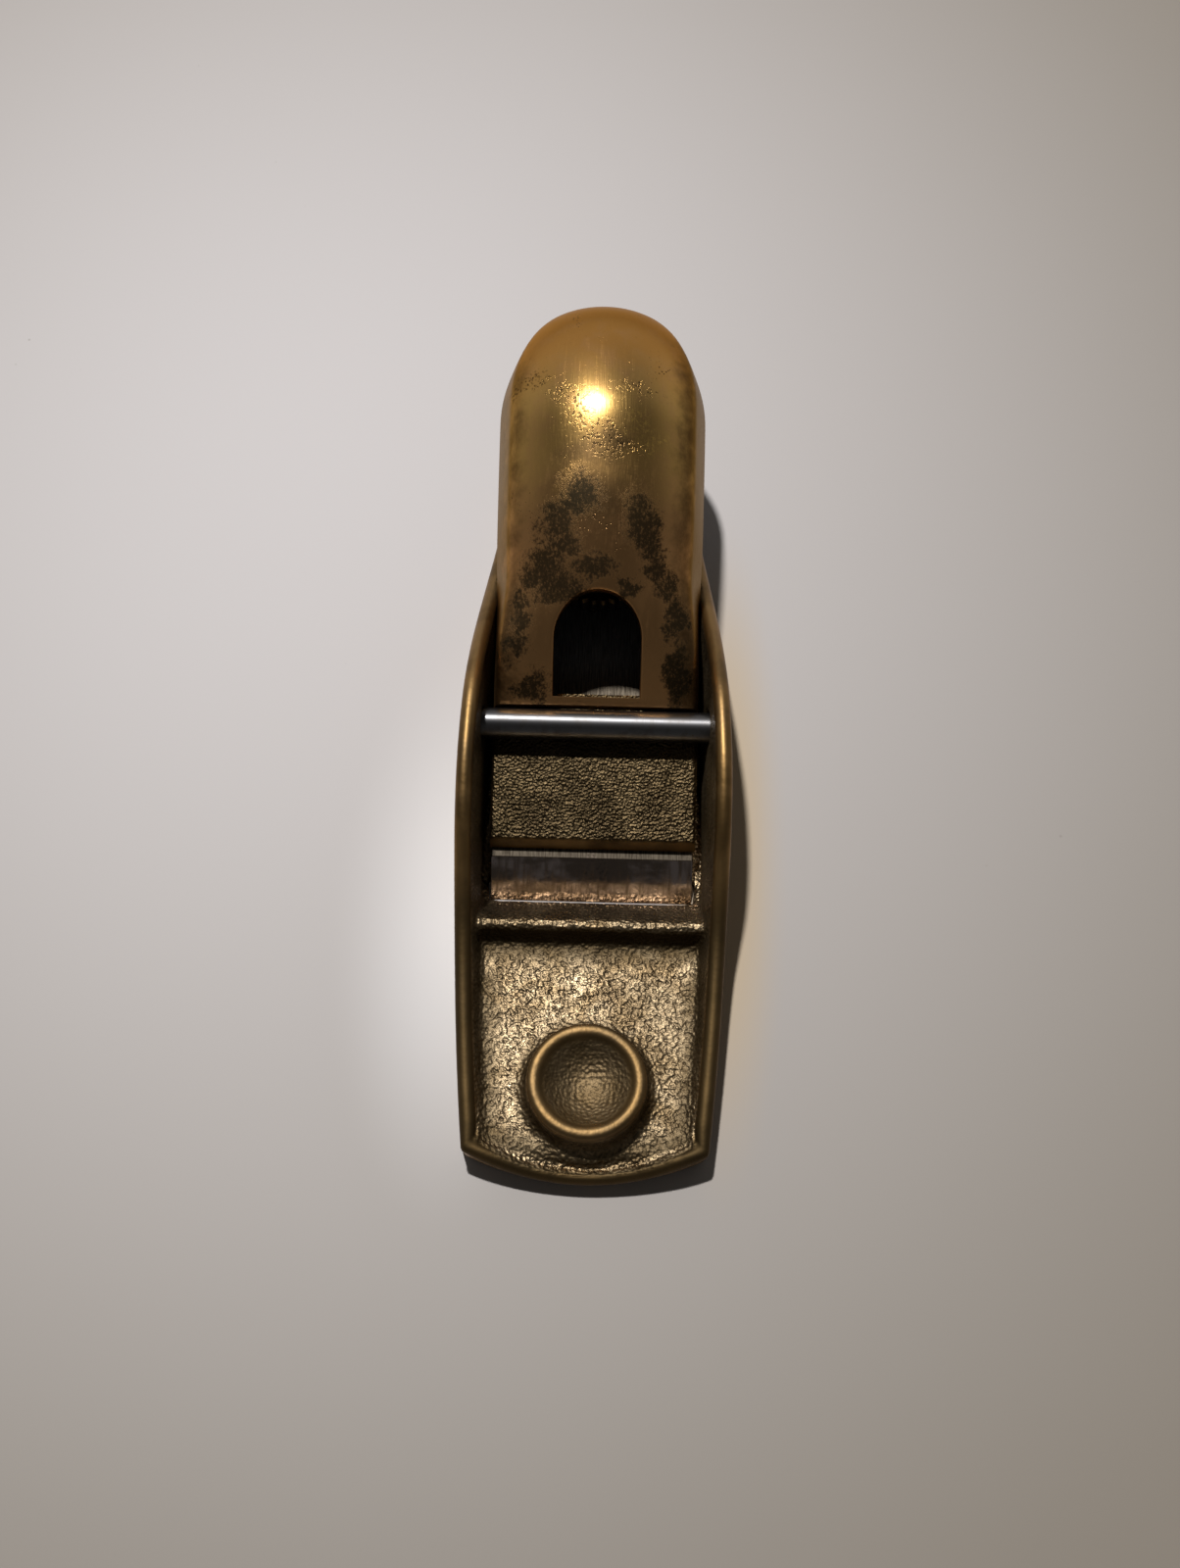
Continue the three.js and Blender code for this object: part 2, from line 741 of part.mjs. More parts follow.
// A round hole through a shape at its centre
function boreOf(radius) {
  const hole = new THREE.Path();
  hole.absarc(0, 0, radius, 0, 2 * Math.PI, true);
  return hole;
}

// The knurled wheel that tightens the lever cap
function makeLockWheel() {
  const shape = knurledShape(wheelRadius, wheelKnurls, knurlDepth);
  shape.holes.push(boreOf(lockScrewRadius + pinClearance));
  const geometry = new THREE.ExtrudeGeometry(shape, {
    depth: wheelHeight,
    bevelEnabled: false,
    curveSegments: roundFacets / 2,
  });
  geometry.translate(0, wheelFromEdge, bladeThickness + wheelLift);
  return solid(toBed(geometry));
}

// The screw fixed in the lock wheel, which bears on the blade
function makeLockScrew() {
  const foot = bladeThickness + seatGap;
  return solid(bedPost(wheelFromEdge, foot, foot + lockScrewLength, lockScrewRadius));
}

// The threaded stud in the bed that the adjuster nut turns on
function makeStud() {
  const start = bedLength - studSeat;
  return solid(bedShaft(start, start + studLength, studRadius));
}

// The adjuster nut: a thin flange that rides in the blade's slot, a neck and a knurled grip
function makeNut() {
  const boreRadius = studRadius + threadClearance;
  const bore = bedShaft(flangeFromEdge - overrun, bladeLength + 2 * overrun, boreRadius);
  const flangeEnd = flangeFromEdge + flangeThickness;
  const flange = solid(bedShaft(flangeFromEdge, flangeEnd, flangeRadius));
  const neck = solid(bedShaft(flangeFromEdge, flangeEnd + 2 * nutNeck, nutRadius - nutNeck));
  const grip = new THREE.ExtrudeGeometry(knurledShape(nutRadius, nutKnurls, knurlDepth), {
    depth: nutLength - nutNeck,
    bevelEnabled: false,
  });
  grip.rotateX(-Math.PI / 2);
  grip.translate(0, flangeEnd + nutNeck, -studDepth);
  return flange.add(neck).add(solid(toBed(grip))).subtract(solid(bore));
}

const bronze = { color: 0x8a7040, roughness: 0.4, metalness: 0.9 };
const brass = { color: 0xa98a45, roughness: 0.35, metalness: 0.95 };
const steel = { color: 0xa9a8a5, roughness: 0.28, metalness: 1 };
const groundSteel = { color: 0x8d8a86, roughness: 0.35, metalness: 1 };

const pieces = [
  ["body_casting", makeBody, bronze],
  ["cross_pin", makePin, steel],
  ["blade", makeBlade, groundSteel],
  ["lever_cap", makeCap, bronze],
  ["lock_wheel", makeLockWheel, brass],
  ["lock_screw", makeLockScrew, steel],
  ["adjuster_stud", makeStud, steel],
  ["adjuster_nut", makeNut, brass],
];

const plane = new THREE.Group();
for (const [name, make, finish] of pieces) {
  const mesh = new THREE.Mesh(geometryOf(make()), new THREE.MeshStandardMaterial(finish));
  mesh.name = name;
  plane.add(mesh);
}

export default plane;
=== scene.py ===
"""Looks of a low-angle bronze block plane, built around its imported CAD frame.

Every shape is worked out in millimetres and turned into metres as its object is made.
"""

import logging
import math
from dataclasses import dataclass, field
from enum import Enum
from functools import cache
from typing import Callable, Iterable, Optional, Sequence

import bmesh
import bpy
from bmesh.types import BMEdge, BMesh, BMVert
from bpy.types import Material, Node, NodeSocket, NodeTree, Object
from mathutils import Matrix, Vector, noise


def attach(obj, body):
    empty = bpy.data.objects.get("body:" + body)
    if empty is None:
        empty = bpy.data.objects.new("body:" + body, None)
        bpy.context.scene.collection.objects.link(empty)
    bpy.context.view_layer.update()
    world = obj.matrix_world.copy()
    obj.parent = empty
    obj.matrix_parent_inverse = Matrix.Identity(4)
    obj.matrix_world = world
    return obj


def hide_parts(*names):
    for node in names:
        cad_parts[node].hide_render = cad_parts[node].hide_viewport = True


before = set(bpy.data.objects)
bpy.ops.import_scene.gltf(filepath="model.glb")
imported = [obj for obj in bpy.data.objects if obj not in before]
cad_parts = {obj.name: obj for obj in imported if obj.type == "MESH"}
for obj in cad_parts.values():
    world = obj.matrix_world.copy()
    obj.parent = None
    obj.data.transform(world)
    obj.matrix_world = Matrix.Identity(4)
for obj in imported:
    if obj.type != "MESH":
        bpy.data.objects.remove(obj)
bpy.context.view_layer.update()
LOG = logging.getLogger("block_plane")
MM = 0.001
Colour = tuple[float, float, float]
Point = tuple[float, float]
Span = tuple[float, float]
Sockets = dict[str, NodeSocket]
Outputs = bpy.types.bpy_prop_collection


class Body(Enum):
    """The bodies of the frame that pieces ride on."""

    CASTING = "body"
    BLADE = "blade"
    NUT = "adjuster_nut"
    CAP = "lever_cap"
    WHEEL = "lock_wheel"


def smoothstep(low: float, high: float, value: float) -> float:
    """Rises smoothly from 0 at low to 1 at high."""
    share = min(1.0, max(0.0, (value - low) / (high - low)))
    return share * share * (3.0 - 2.0 * share)


def blend(start: float, end: float, share: float) -> float:
    """The value at a share of the way from start to end."""
    return start + (end - start) * share


def around(place: float, span: Span, value: float) -> float:
    """Rises smoothly from 0 to 1 over a span that is measured from a place."""
    return smoothstep(place + span[0], place + span[1], value)


def hermite(share: float, start: float, start_slope: float, end: float, end_slope: float) -> float:
    """A cubic between two values with a slope at each.

    Args:
        share: place between the two, from 0 to 1.
        start: value at 0.
        start_slope: slope at 0.
        end: value at 1.
        end_slope: slope at 1.

    Returns:
        The value at share.
    """
    square = share * share
    cube = square * share
    return (
        (2.0 * cube - 3.0 * square + 1.0) * start
        + (cube - 2.0 * square + share) * start_slope
        + (3.0 * square - 2.0 * cube) * end
        + (cube - square) * end_slope
    )


@dataclass(frozen=True)
class PlaneSizes:
    """Main sizes of the plane in millimetres, as in the frame."""

    nose_y: float = -69.15
    back_y: float = 69.15
    body_length: float = 133.4
    half_width: float = 21.05
    widest_from_nose: float = 53.8
    corner_setback: float = 4.2
    fore_radius: float = 485.0
    aft_radius: float = 333.0
    corner_round: float = 1.1
    toe_floor: float = 4.5
    nose_rim: float = 3.4
    nose_floor: float = 3.1
    dip_from_nose: float = 5.2
    peak_rim: float = 24.3
    heel_rim: float = 5.6
    edge_from_nose: float = 46.3
    edge_height: float = 0.15
    bed_angle: float = math.radians(12.0)
    blade_width: float = 31.75
    blade_thickness: float = 3.175
    blade_length: float = 86.0
    blade_tail_radius: float = 19.0
    bevel_angle: float = math.radians(26.0)
    pin_from_nose: float = 70.2
    pin_z: float = 15.05
    pin_radius: float = 2.38
    wheel_from_edge: float = 57.5
    stud_depth: float = 6.0
    flange_from_edge: float = 76.8

    @property
    def heel_y(self) -> float:
        """Back of the body."""
        return self.nose_y + self.body_length

    @property
    def widest_y(self) -> float:
        """Where the body is widest."""
        return self.nose_y + self.widest_from_nose

    @property
    def edge_y(self) -> float:
        """Place of the cutting edge."""
        return self.nose_y + self.edge_from_nose

    @property
    def pin_y(self) -> float:
        """Place of the cross pin's axis."""
        return self.nose_y + self.pin_from_nose

    def on_bed(self, x: float, along: float, above: float) -> Vector:
        """A point across the plane, along the bed from the edge and above the blade's underside.

        Args:
            x: place across the plane.
            along: distance along the bed.
            above: height off the bed.

        Returns:
            The point in the frame.
        """
        y = self.edge_y + along * math.cos(self.bed_angle) - above * math.sin(self.bed_angle)
        z = self.edge_height + along * math.sin(self.bed_angle) + above * math.cos(self.bed_angle)
        return Vector((x, y, z))

    def reach(self, y: float, above: float) -> float:
        """How far along the bed a point of that height lies which has the given y."""
        return (y - self.edge_y + above * math.sin(self.bed_angle)) / math.cos(self.bed_angle)

    def bed_matrix(self, along: float, above: float) -> Matrix:
        """Places a shape drawn with its own Z off the bed and its own Y along it."""
        place = Matrix.Translation(self.on_bed(0.0, along, above))
        return place @ Matrix.Rotation(self.bed_angle, 4, "X")


SIZES = PlaneSizes()


@dataclass(frozen=True)
class RimLine:
    """Height of the top of the side walls along the plane."""

    sizes: PlaneSizes = SIZES
    shares: tuple[Point, ...] = (
        (0.033, 0.25), (0.13, 0.32), (0.22, 0.39), (0.28, 0.49), (0.335, 0.67),
        (0.39, 0.86), (0.45, 0.975), (0.5, 1.0), (0.55, 0.975), (0.605, 0.86),
        (0.665, 0.69), (0.72, 0.54), (0.775, 0.43), (0.87, 0.33),
    )

    def height(self, y: float) -> float:
        """Height of the rim at y, as a smooth curve through the shares.

        Args:
            y: place along the plane.

        Returns:
            Height above the sole.
        """
        size = self.sizes
        stations = [(size.nose_y, size.nose_rim)]
        stations += [(size.nose_y + a * size.body_length, h * size.peak_rim) for a, h in self.shares]
        stations.append((size.heel_y, size.heel_rim))
        y = min(max(y, size.nose_y), size.heel_y)
        i = next(k for k in range(1, len(stations)) if stations[k][0] >= y)
        (y0, z0), (y1, z1) = stations[i - 1], stations[i]
        before, after = stations[max(i - 2, 0)], stations[min(i + 1, len(stations) - 1)]
        span = y1 - y0
        slope0 = (z1 - before[1]) / (y1 - before[0]) * span
        slope1 = (after[1] - z0) / (after[0] - y0) * span
        return hermite((y - y0) / span, z0, slope0, z1, slope1)


@dataclass(frozen=True)
class PlanOutline:
    """The body's outline seen from above, as rings of matching points at any inset."""

    sizes: PlaneSizes = SIZES
    nose_points: int = 14
    corner_points: int = 8
    fore_points: int = 26
    aft_points: int = 40
    heel_points: int = 20

    def ring(self, inset: float, lip: float) -> list[Point]:
        """Points round the outline, counter-clockwise from the middle of the nose.

        Args:
            inset: distance drawn in from the sides and the heel.
            lip: distance drawn in from the nose.

        Returns:
            The x and y of each point.
        """
        size = self.sizes
        fore = size.fore_radius - inset
        aft_offset = size.aft_radius - size.half_width
        corner_y = size.nose_y + size.corner_setback + lip
        corner_x = math.sqrt(fore**2 - (size.widest_y - corner_y) ** 2)
        corner_x -= size.fore_radius - size.half_width
        nose_radius = (corner_x**2 + size.corner_setback**2) / (2.0 * size.corner_setback)
        nose_centre = size.nose_y + lip + nose_radius
        nose_turn = math.asin((corner_x - size.corner_round) / nose_radius)
        fore_turn = math.asin((size.widest_y - corner_y - size.corner_round) / fore)
        half: list[Point] = []
        for i in range(self.nose_points + 1):
            turn = nose_turn * i / self.nose_points
            half.append((nose_radius * math.sin(turn), nose_centre - nose_radius * math.cos(turn)))
        start, turning_point = half[-1], (corner_x, corner_y)
        fore_centre = size.half_width - size.fore_radius
        end_y = size.widest_y - fore * math.sin(fore_turn)
        end = (fore_centre + fore * math.cos(fore_turn), end_y)
        for i in range(1, self.corner_points + 1):
            u = i / self.corner_points
            a, b, c = (1.0 - u) ** 2, 2.0 * u * (1.0 - u), u * u
            half.append(tuple(a * p + b * q + c * r for p, q, r in zip(start, turning_point, end)))
        for i in range(1, self.fore_points + 1):
            turn = -fore_turn * (1.0 - i / self.fore_points)
            half.append((fore_centre + fore * math.cos(turn), size.widest_y + fore * math.sin(turn)))
        aft = size.aft_radius - inset
        for i in range(1, self.aft_points + 1):
            turn = self.heel_turn * i / self.aft_points
            half.append((-aft_offset + aft * math.cos(turn), size.widest_y + aft * math.sin(turn)))
        for i in range(1, self.heel_points + 1):
            turn = blend(self.heel_turn, math.pi / 2.0, i / self.heel_points)
            radius = self.heel_radius - inset
            half.append((radius * math.cos(turn), self.heel_centre + radius * math.sin(turn)))
        half[-1] = (0.0, half[-1][1])
        return half + [(-x, y) for x, y in reversed(half[1:-1])]

    @property
    def heel_radius(self) -> float:
        """Radius of the round heel, tangent to both side arcs.

        Returns:
            The radius.
        """
        size = self.sizes
        reach = size.heel_y - size.widest_y
        offset = size.aft_radius - size.half_width
        return (size.aft_radius**2 - offset**2 - reach**2) / (2.0 * (size.aft_radius - reach))

    @property
    def heel_centre(self) -> float:
        """Place of the heel's centre along the plane."""
        return self.sizes.heel_y - self.heel_radius

    @property
    def heel_turn(self) -> float:
        """Angle at which the side arc meets the heel's."""
        side = self.sizes.aft_radius - self.sizes.half_width
        return math.atan2(self.heel_centre - self.sizes.widest_y, side)

    def half_width(self, y: float) -> float:
        """Half the body's width at y, leaving the round of the nose out.

        Args:
            y: place along the plane.

        Returns:
            Half the width.
        """
        size = self.sizes
        if y >= self.heel_centre + self.heel_radius * math.sin(self.heel_turn):
            rest = self.heel_radius**2 - (y - self.heel_centre) ** 2
            return math.sqrt(max(0.0, rest))
        radius = size.aft_radius if y > size.widest_y else size.fore_radius
        return size.half_width - radius + math.sqrt(radius**2 - (y - size.widest_y) ** 2)

    def inset_at(self, x: float, y: float) -> float:
        """How far a point lies inside the outline.

        Args:
            x: place across the plane.
            y: place along it.

        Returns:
            The distance, negative outside.
        """
        size = self.sizes
        side = self.half_width(y) - abs(x)
        corner_x = self.half_width(size.nose_y + size.corner_setback)
        nose_radius = (corner_x**2 + size.corner_setback**2) / (2.0 * size.corner_setback)
        nose = nose_radius - math.hypot(x, y - size.nose_y - nose_radius)
        if y < size.nose_y + 12.0:
            return min(side, nose)
        if y > self.heel_centre:
            return self.heel_radius - math.hypot(x, y - self.heel_centre)
        return side


RIM = RimLine()
OUTLINE = PlanOutline()


class LoopSkin:
    """A skin grown loop by loop: each loop is extruded from the last and set in place."""

    def __init__(self, points: Sequence[Vector]) -> None:
        """Starts from one closed loop through the points.

        Args:
            points: the loop's points.
        """
        self.bm = bmesh.new()
        made = bmesh.ops.create_circle(self.bm, segments=len(points), radius=1.0)
        self.first = list(made["verts"])
        self.loop = list(self.first)
        self._set(points)

    def _set(self, points: Sequence[Vector]) -> None:
        """Moves the current loop onto the points."""
        for vertex, point in zip(self.loop, points):
            vertex.co = point

    def edges(self, loop: Sequence[BMVert]) -> list[BMEdge]:
        """The edges that join neighbours in a loop."""
        pairs = zip(loop, list(loop[1:]) + [loop[0]])
        return [self.bm.edges.get(pair) for pair in pairs]

    def take_up(self, loop: Sequence[BMVert]) -> "LoopSkin":
        """Goes on growing from another closed loop of the same mesh."""
        self.loop = list(loop)
        return self

    def grow(self, points: Sequence[Vector]) -> "LoopSkin":
        """Extrudes the current loop onto new points, one for each vertex.

        Args:
            points: where the new loop lies.

        Returns:
            The skin itself.
        """
        made = bmesh.ops.extrude_edge_only(self.bm, edges=self.edges(self.loop))
        fresh = {v for v in made["geom"] if isinstance(v, BMVert)}
        self.loop = [
            next(e.other_vert(v) for e in v.link_edges if e.other_vert(v) in fresh)
            for v in self.loop
        ]
        self._set(points)
        return self

    def close_ends(self) -> BMesh:
        """Fills the first loop and the current one.

        Returns:
            The closed mesh.
        """
        for loop in (self.first, self.loop):
            bmesh.ops.edgeloop_fill(self.bm, edges=self.edges(loop))
        return self.bm

    def join_ends(self) -> BMesh:
        """Bridges the current loop back to the first."""
        bmesh.ops.bridge_loops(self.bm, edges=self.edges(self.first) + self.edges(self.loop))
        return self.bm


def tidy(bm: BMesh, merge: float = 1e-4) -> BMesh:
    """Merges doubles and turns every face outwards.

    Args:
        bm: the mesh.
        merge: distance within which vertices join.

    Returns:
        The same mesh.
    """
    bmesh.ops.remove_doubles(bm, verts=bm.verts, dist=merge)
    bmesh.ops.dissolve_degenerate(bm, dist=merge, edges=bm.edges)
    bmesh.ops.recalc_face_normals(bm, faces=bm.faces)
    return bm


def turned(profile: Sequence[Point], steps: int) -> BMesh:
    """Spins a profile of radius and height about Z into a closed solid.

    Args:
        profile: points from the axis at the bottom to the axis at the top.
        steps: divisions of the full turn.

    Returns:
        The turned solid.
    """
    bm = bmesh.new()
    verts = [bm.verts.new((radius, 0.0, height)) for radius, height in profile]
    edges = [bm.edges.new(pair) for pair in zip(verts, verts[1:])]
    bmesh.ops.spin(
        bm, geom=verts + edges, cent=(0, 0, 0), axis=(0, 0, 1), dvec=(0, 0, 0),
        angle=2.0 * math.pi, steps=steps, use_merge=True, use_duplicate=False,
    )
    return tidy(bm)


def slab(outline: Sequence[Point], low: float, high: float) -> BMesh:
    """A flat outline of x and y extruded from one height to another.

    Args:
        outline: its corners in order.
        low: height of its foot.
        high: height of its top.

    Returns:
        The solid.
    """
    bm = bmesh.new()
    face = bm.faces.new([bm.verts.new((x, y, low)) for x, y in outline])
    made = bmesh.ops.extrude_face_region(bm, geom=[face])
    top = [v for v in made["geom"] if isinstance(v, BMVert)]
    bmesh.ops.translate(bm, verts=top, vec=(0, 0, high - low))
    return tidy(bm)


def rod(radius: float, length: float, chamfer: float, steps: int = 64) -> BMesh:
    """A round bar along Z, centred, with its ends chamfered.

    Args:
        radius: its radius.
        length: its whole length.
        chamfer: size of the chamfers.
        steps: divisions of the full turn.

    Returns:
        The bar.
    """
    half = length / 2.0
    profile = [(0, -half), (radius - chamfer, -half), (radius, -half + chamfer)]
    profile += [(radius, half - chamfer), (radius - chamfer, half), (0, half)]
    return turned(profile, steps)


def moved(bm: BMesh, matrix: Matrix) -> BMesh:
    """Puts a whole mesh in its place."""
    bmesh.ops.transform(bm, matrix=matrix, verts=bm.verts)
    return bm


def laid_across(bm: BMesh, sizes: PlaneSizes) -> BMesh:
    """Turns a bar that stands on Z onto the cross pin's axis.

    Args:
        bm: the bar.
        sizes: the plane's sizes.

    Returns:
        The same bar.
    """
    bmesh.ops.rotate(bm, verts=bm.verts, matrix=Matrix.Rotation(math.pi / 2, 3, "Y"))
    bmesh.ops.translate(bm, verts=bm.verts, vec=(0, sizes.pin_y, sizes.pin_z))
    return bm


def object_from(bm: BMesh, name: str, scale: float = 1.0) -> Object:
    """Turns a bmesh into an object in the scene, scaled, and frees the bmesh.

    Args:
        bm: the mesh.
        name: name of the object.
        scale: factor on its size.

    Returns:
        The object.
    """
    bmesh.ops.scale(bm, vec=(scale, scale, scale), verts=bm.verts)
    mesh = bpy.data.meshes.new(name)
    bm.to_mesh(mesh)
    bm.free()
    obj = bpy.data.objects.new(name, mesh)
    bpy.context.scene.collection.objects.link(obj)
    return obj


def worked(obj: Object) -> BMesh:
    """The object's mesh with its modifiers applied, as a bmesh; the object is removed.

    Args:
        obj: an object with modifiers.

    Returns:
        Its mesh.
    """
    evaluated = obj.evaluated_get(bpy.context.evaluated_depsgraph_get())
    bm = bmesh.new()
    bm.from_mesh(evaluated.to_mesh())
    evaluated.to_mesh_clear()
    bpy.data.meshes.remove(obj.data)
    return bm


def cut(bm: BMesh, tool: BMesh) -> BMesh:
    """Cuts a tool's shape out of a solid.

    Args:
        bm: the solid.
        tool: what is taken away.

    Returns:
        What is left of the solid.
    """
    target, cutter = object_from(bm, "cut_target"), object_from(tool, "cut_tool")
    modifier = target.modifiers.new("Cut", "BOOLEAN")
    modifier.operation, modifier.solver, modifier.object = "DIFFERENCE", "EXACT", cutter
    left = worked(target)
    bpy.data.meshes.remove(cutter.data)
    return left


def gathered(parts: Iterable[BMesh]) -> BMesh:
    """Puts several meshes into one.

    Args:
        parts: the meshes, which are freed.

    Returns:
        The whole.
    """
    whole = bmesh.new()
    for part in parts:
        mesh = bpy.data.meshes.new("gathered")
        part.to_mesh(mesh)
        part.free()
        whole.from_mesh(mesh)
        bpy.data.meshes.remove(mesh)
    return whole


def fused(bm: BMesh, voxel: float) -> BMesh:
    """Remeshes overlapping solids into one even skin.

    Args:
        bm: the solids.
        voxel: width of the cells.

    Returns:
        The skin.
    """
    obj = object_from(bm, "fused")
    modifier = obj.modifiers.new("Remesh", "REMESH")
    modifier.mode, modifier.voxel_size, modifier.adaptivity = "VOXEL", voxel, 0.0
    return worked(obj)


def sand(point: Vector, grain: float) -> float:
    """Height of a sand-cast skin at a point, from about -1 to 1.

    Args:
        point: the point.
        grain: width of the grains.

    Returns:
        The height.
    """
    lumps = noise.noise(point / (1.9 * grain), noise_basis="PERLIN_ORIGINAL")
    grains = noise.noise(point / grain + Vector((7.3, 1.9, 4.1)), noise_basis="PERLIN_ORIGINAL")
    swell = noise.noise(point / (6.0 * grain), noise_basis="PERLIN_ORIGINAL")
    return 0.9 * lumps + 0.8 * grains + 0.5 * swell


def finished(
    bm: BMesh,
    name: str,
    body: Body,
    finish: "Finish",
    replaces: Sequence[str] = (),
    crease: float = 35.0,
    masks: Optional[dict[str, list[float]]] = None,
) -> Object:
    """Makes a finished piece of a mesh: smooth shading, finish and body.

    Args:
        bm: the piece in millimetres.
        name: name of the new object.
        body: frame body that it moves with.
        finish: its finish.
        replaces: frame nodes that it stands for.
        crease: edges sharper than this many degrees stay sharp.
        masks: values for each vertex, by the name of the attribute.

    Returns:
        The object, in metres and at the origin.
    """
    faces = len(bm.faces)
    obj = object_from(bm, name, MM)
    mesh = obj.data
    mesh.polygons.foreach_set("use_smooth", [True] * len(mesh.polygons))
    mesh.set_sharp_from_angle(angle=math.radians(crease))
    for key, values in (masks or {}).items():
        mesh.attributes.new(key, "FLOAT", "POINT").data.foreach_set("value", values)
    mesh.materials.append(finish.material())
    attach(obj, body.value)
    if replaces:
        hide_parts(*replaces)
    LOG.info("%s: %d faces on %s", name, faces, body.value)
    return obj


class NodeBench:
    """A node tree being wired, with short calls for the nodes that the finishes use."""

    def __init__(self, tree: NodeTree) -> None:
        """Works on the given tree."""
        self.tree = tree

    def feed(self, socket: NodeSocket, value: object) -> None:
        """Links a socket to another, or gives it a plain value.

        Args:
            socket: the socket that is fed.
            value: another socket, a number, a vector or a colour.
        """
        if isinstance(value, NodeSocket):
            self.tree.links.new(value, socket)
        elif socket.type == "RGBA" and len(value) == 3:
            socket.default_value = (*value, 1.0)
        else:
            socket.default_value = value

    def node(self, kind: str, inputs: dict[object, object], **settings: object) -> Node:
        """Adds a node.

        Args:
            kind: its type.
            inputs: what each input is fed, by place or name.
            settings: its own settings.

        Returns:
            The node.
        """
        node = self.tree.nodes.new(kind)
        for key, value in settings.items():
            setattr(node, key, value)
        for key, value in inputs.items():
            self.feed(node.inputs[key], value)
        return node

    def maths(self, kind: str, *values: object) -> NodeSocket:
        """Works values together."""
        return self.node("ShaderNodeMath", dict(enumerate(values)), operation=kind).outputs[0]

    def plus(self, first: object, second: object) -> NodeSocket:
        """One value added to another."""
        return self.maths("ADD", first, second)

    def minus(self, first: object, second: object) -> NodeSocket:
        """One value less another."""
        return self.maths("SUBTRACT", first, second)

    def times(self, first: object, second: object) -> NodeSocket:
        """One value times another."""
        return self.maths("MULTIPLY", first, second)

    def most(self, first: object, second: object) -> NodeSocket:
        """The larger of two values."""
        return self.maths("MAXIMUM", first, second)

    def size(self, value: object) -> NodeSocket:
        """A value without its sign."""
        return self.maths("ABSOLUTE", value)

    def steps(self, value: object, low: object, high: object) -> NodeSocket:
        """Rises smoothly from 0 to 1 between two values."""
        inputs = {0: value, 1: low, 2: high}
        return self.node("ShaderNodeMapRange", inputs, interpolation_type="SMOOTHSTEP").outputs[0]

    def mixed(self, share: object, first: object, second: object) -> NodeSocket:
        """A colour between two."""
        inputs = {"Factor": share, 6: first, 7: second}
        return self.node("ShaderNodeMix", inputs, data_type="RGBA").outputs[2]

    def between(self, share: object, first: object, second: object) -> NodeSocket:
        """A number between two."""
        inputs = {"Factor": share, 2: first, 3: second}
        return self.node("ShaderNodeMix", inputs, data_type="FLOAT").outputs[0]

    def vectors(self, kind: str, *values: object) -> Node:
        """Works vectors together."""
        return self.node("ShaderNodeVectorMath", dict(enumerate(values)), operation=kind)

    def stretched(self, vector: object, scale: tuple[float, float, float]) -> NodeSocket:
        """A vector scaled along each axis."""
        return self.vectors("MULTIPLY", vector, scale).outputs[0]

    def apart(self, vector: object, middle: tuple[float, float, float],
              stretch: tuple[float, float, float]) -> NodeSocket:
        """Distance from a middle, stretched along each axis."""
        offset = self.vectors("SUBTRACT", vector, middle).outputs[0]
        return self.vectors("LENGTH", self.stretched(offset, stretch)).outputs["Value"]

    def clouds(self, vector: object, scale: object, detail: float, rough: float = 0.5,
               swirl: float = 0.0, output: str = "Fac") -> NodeSocket:
        """Soft noise from 0 to 1."""
        inputs = dict(Vector=vector, Scale=scale, Detail=detail, Roughness=rough, Distortion=swirl)
        return self.node("ShaderNodeTexNoise", inputs).outputs[output]

    def cells(self, vector: object, scale: object) -> NodeSocket:
        """Distance to the nearest of scattered points."""
        return self.node("ShaderNodeTexVoronoi", dict(Vector=vector, Scale=scale)).outputs["Distance"]

    def bumped(self, height: object, depth: float, strength: float, **below: object) -> NodeSocket:
        """A normal raised by a height, whose depth is in metres, over the Normal below."""
        inputs = dict(Height=height, Distance=depth, Strength=strength, **below)
        return self.node("ShaderNodeBump", inputs).outputs["Normal"]

    def mask(self, name: str) -> NodeSocket:
        """A value that the mesh holds for each vertex."""
        return self.node("ShaderNodeAttribute", {}, attribute_name=name).outputs["Fac"]

    def place(self) -> NodeSocket:
        """The point's place on the piece."""
        return self.node("ShaderNodeTexCoord", {}).outputs["Object"]

    def axes(self, vector: object) -> Outputs:
        """A vector's X, Y and Z, by name."""
        return self.node("ShaderNodeSeparateXYZ", {0: vector}).outputs


@dataclass(frozen=True)
class Effect:
    """A shared effect: a shader node group with named sockets."""

    name: str
    inputs: tuple[tuple[str, str, object], ...]
    outputs: tuple[tuple[str, str], ...]
    wire: Callable[[NodeBench, dict[str, NodeSocket]], dict[str, NodeSocket]]

    def group(self) -> NodeTree:
        """The node group, built on its first use.

        Returns:
            The group.
        """
        if self.name in bpy.data.node_groups:
            return bpy.data.node_groups[self.name]
        tree = bpy.data.node_groups.new(self.name, "ShaderNodeTree")
        for name, kind, default in self.inputs:
            socket = tree.interface.new_socket(name, in_out="INPUT", socket_type=kind)
            if default is not None:
                socket.default_value = default
        for name, kind in self.outputs:
            tree.interface.new_socket(name, in_out="OUTPUT", socket_type=kind)
        bench = NodeBench(tree)
        given = bench.node("NodeGroupInput", {}).outputs
        made = self.wire(bench, {name: given[name] for name, _, _ in self.inputs})
        bench.node("NodeGroupOutput", made)
        return tree

    def on(self, bench: NodeBench, **values: object) -> Outputs:
        """Places the effect in a material with its own values, and gives its outputs."""
        return bench.node("ShaderNodeGroup", values, node_tree=self.group()).outputs


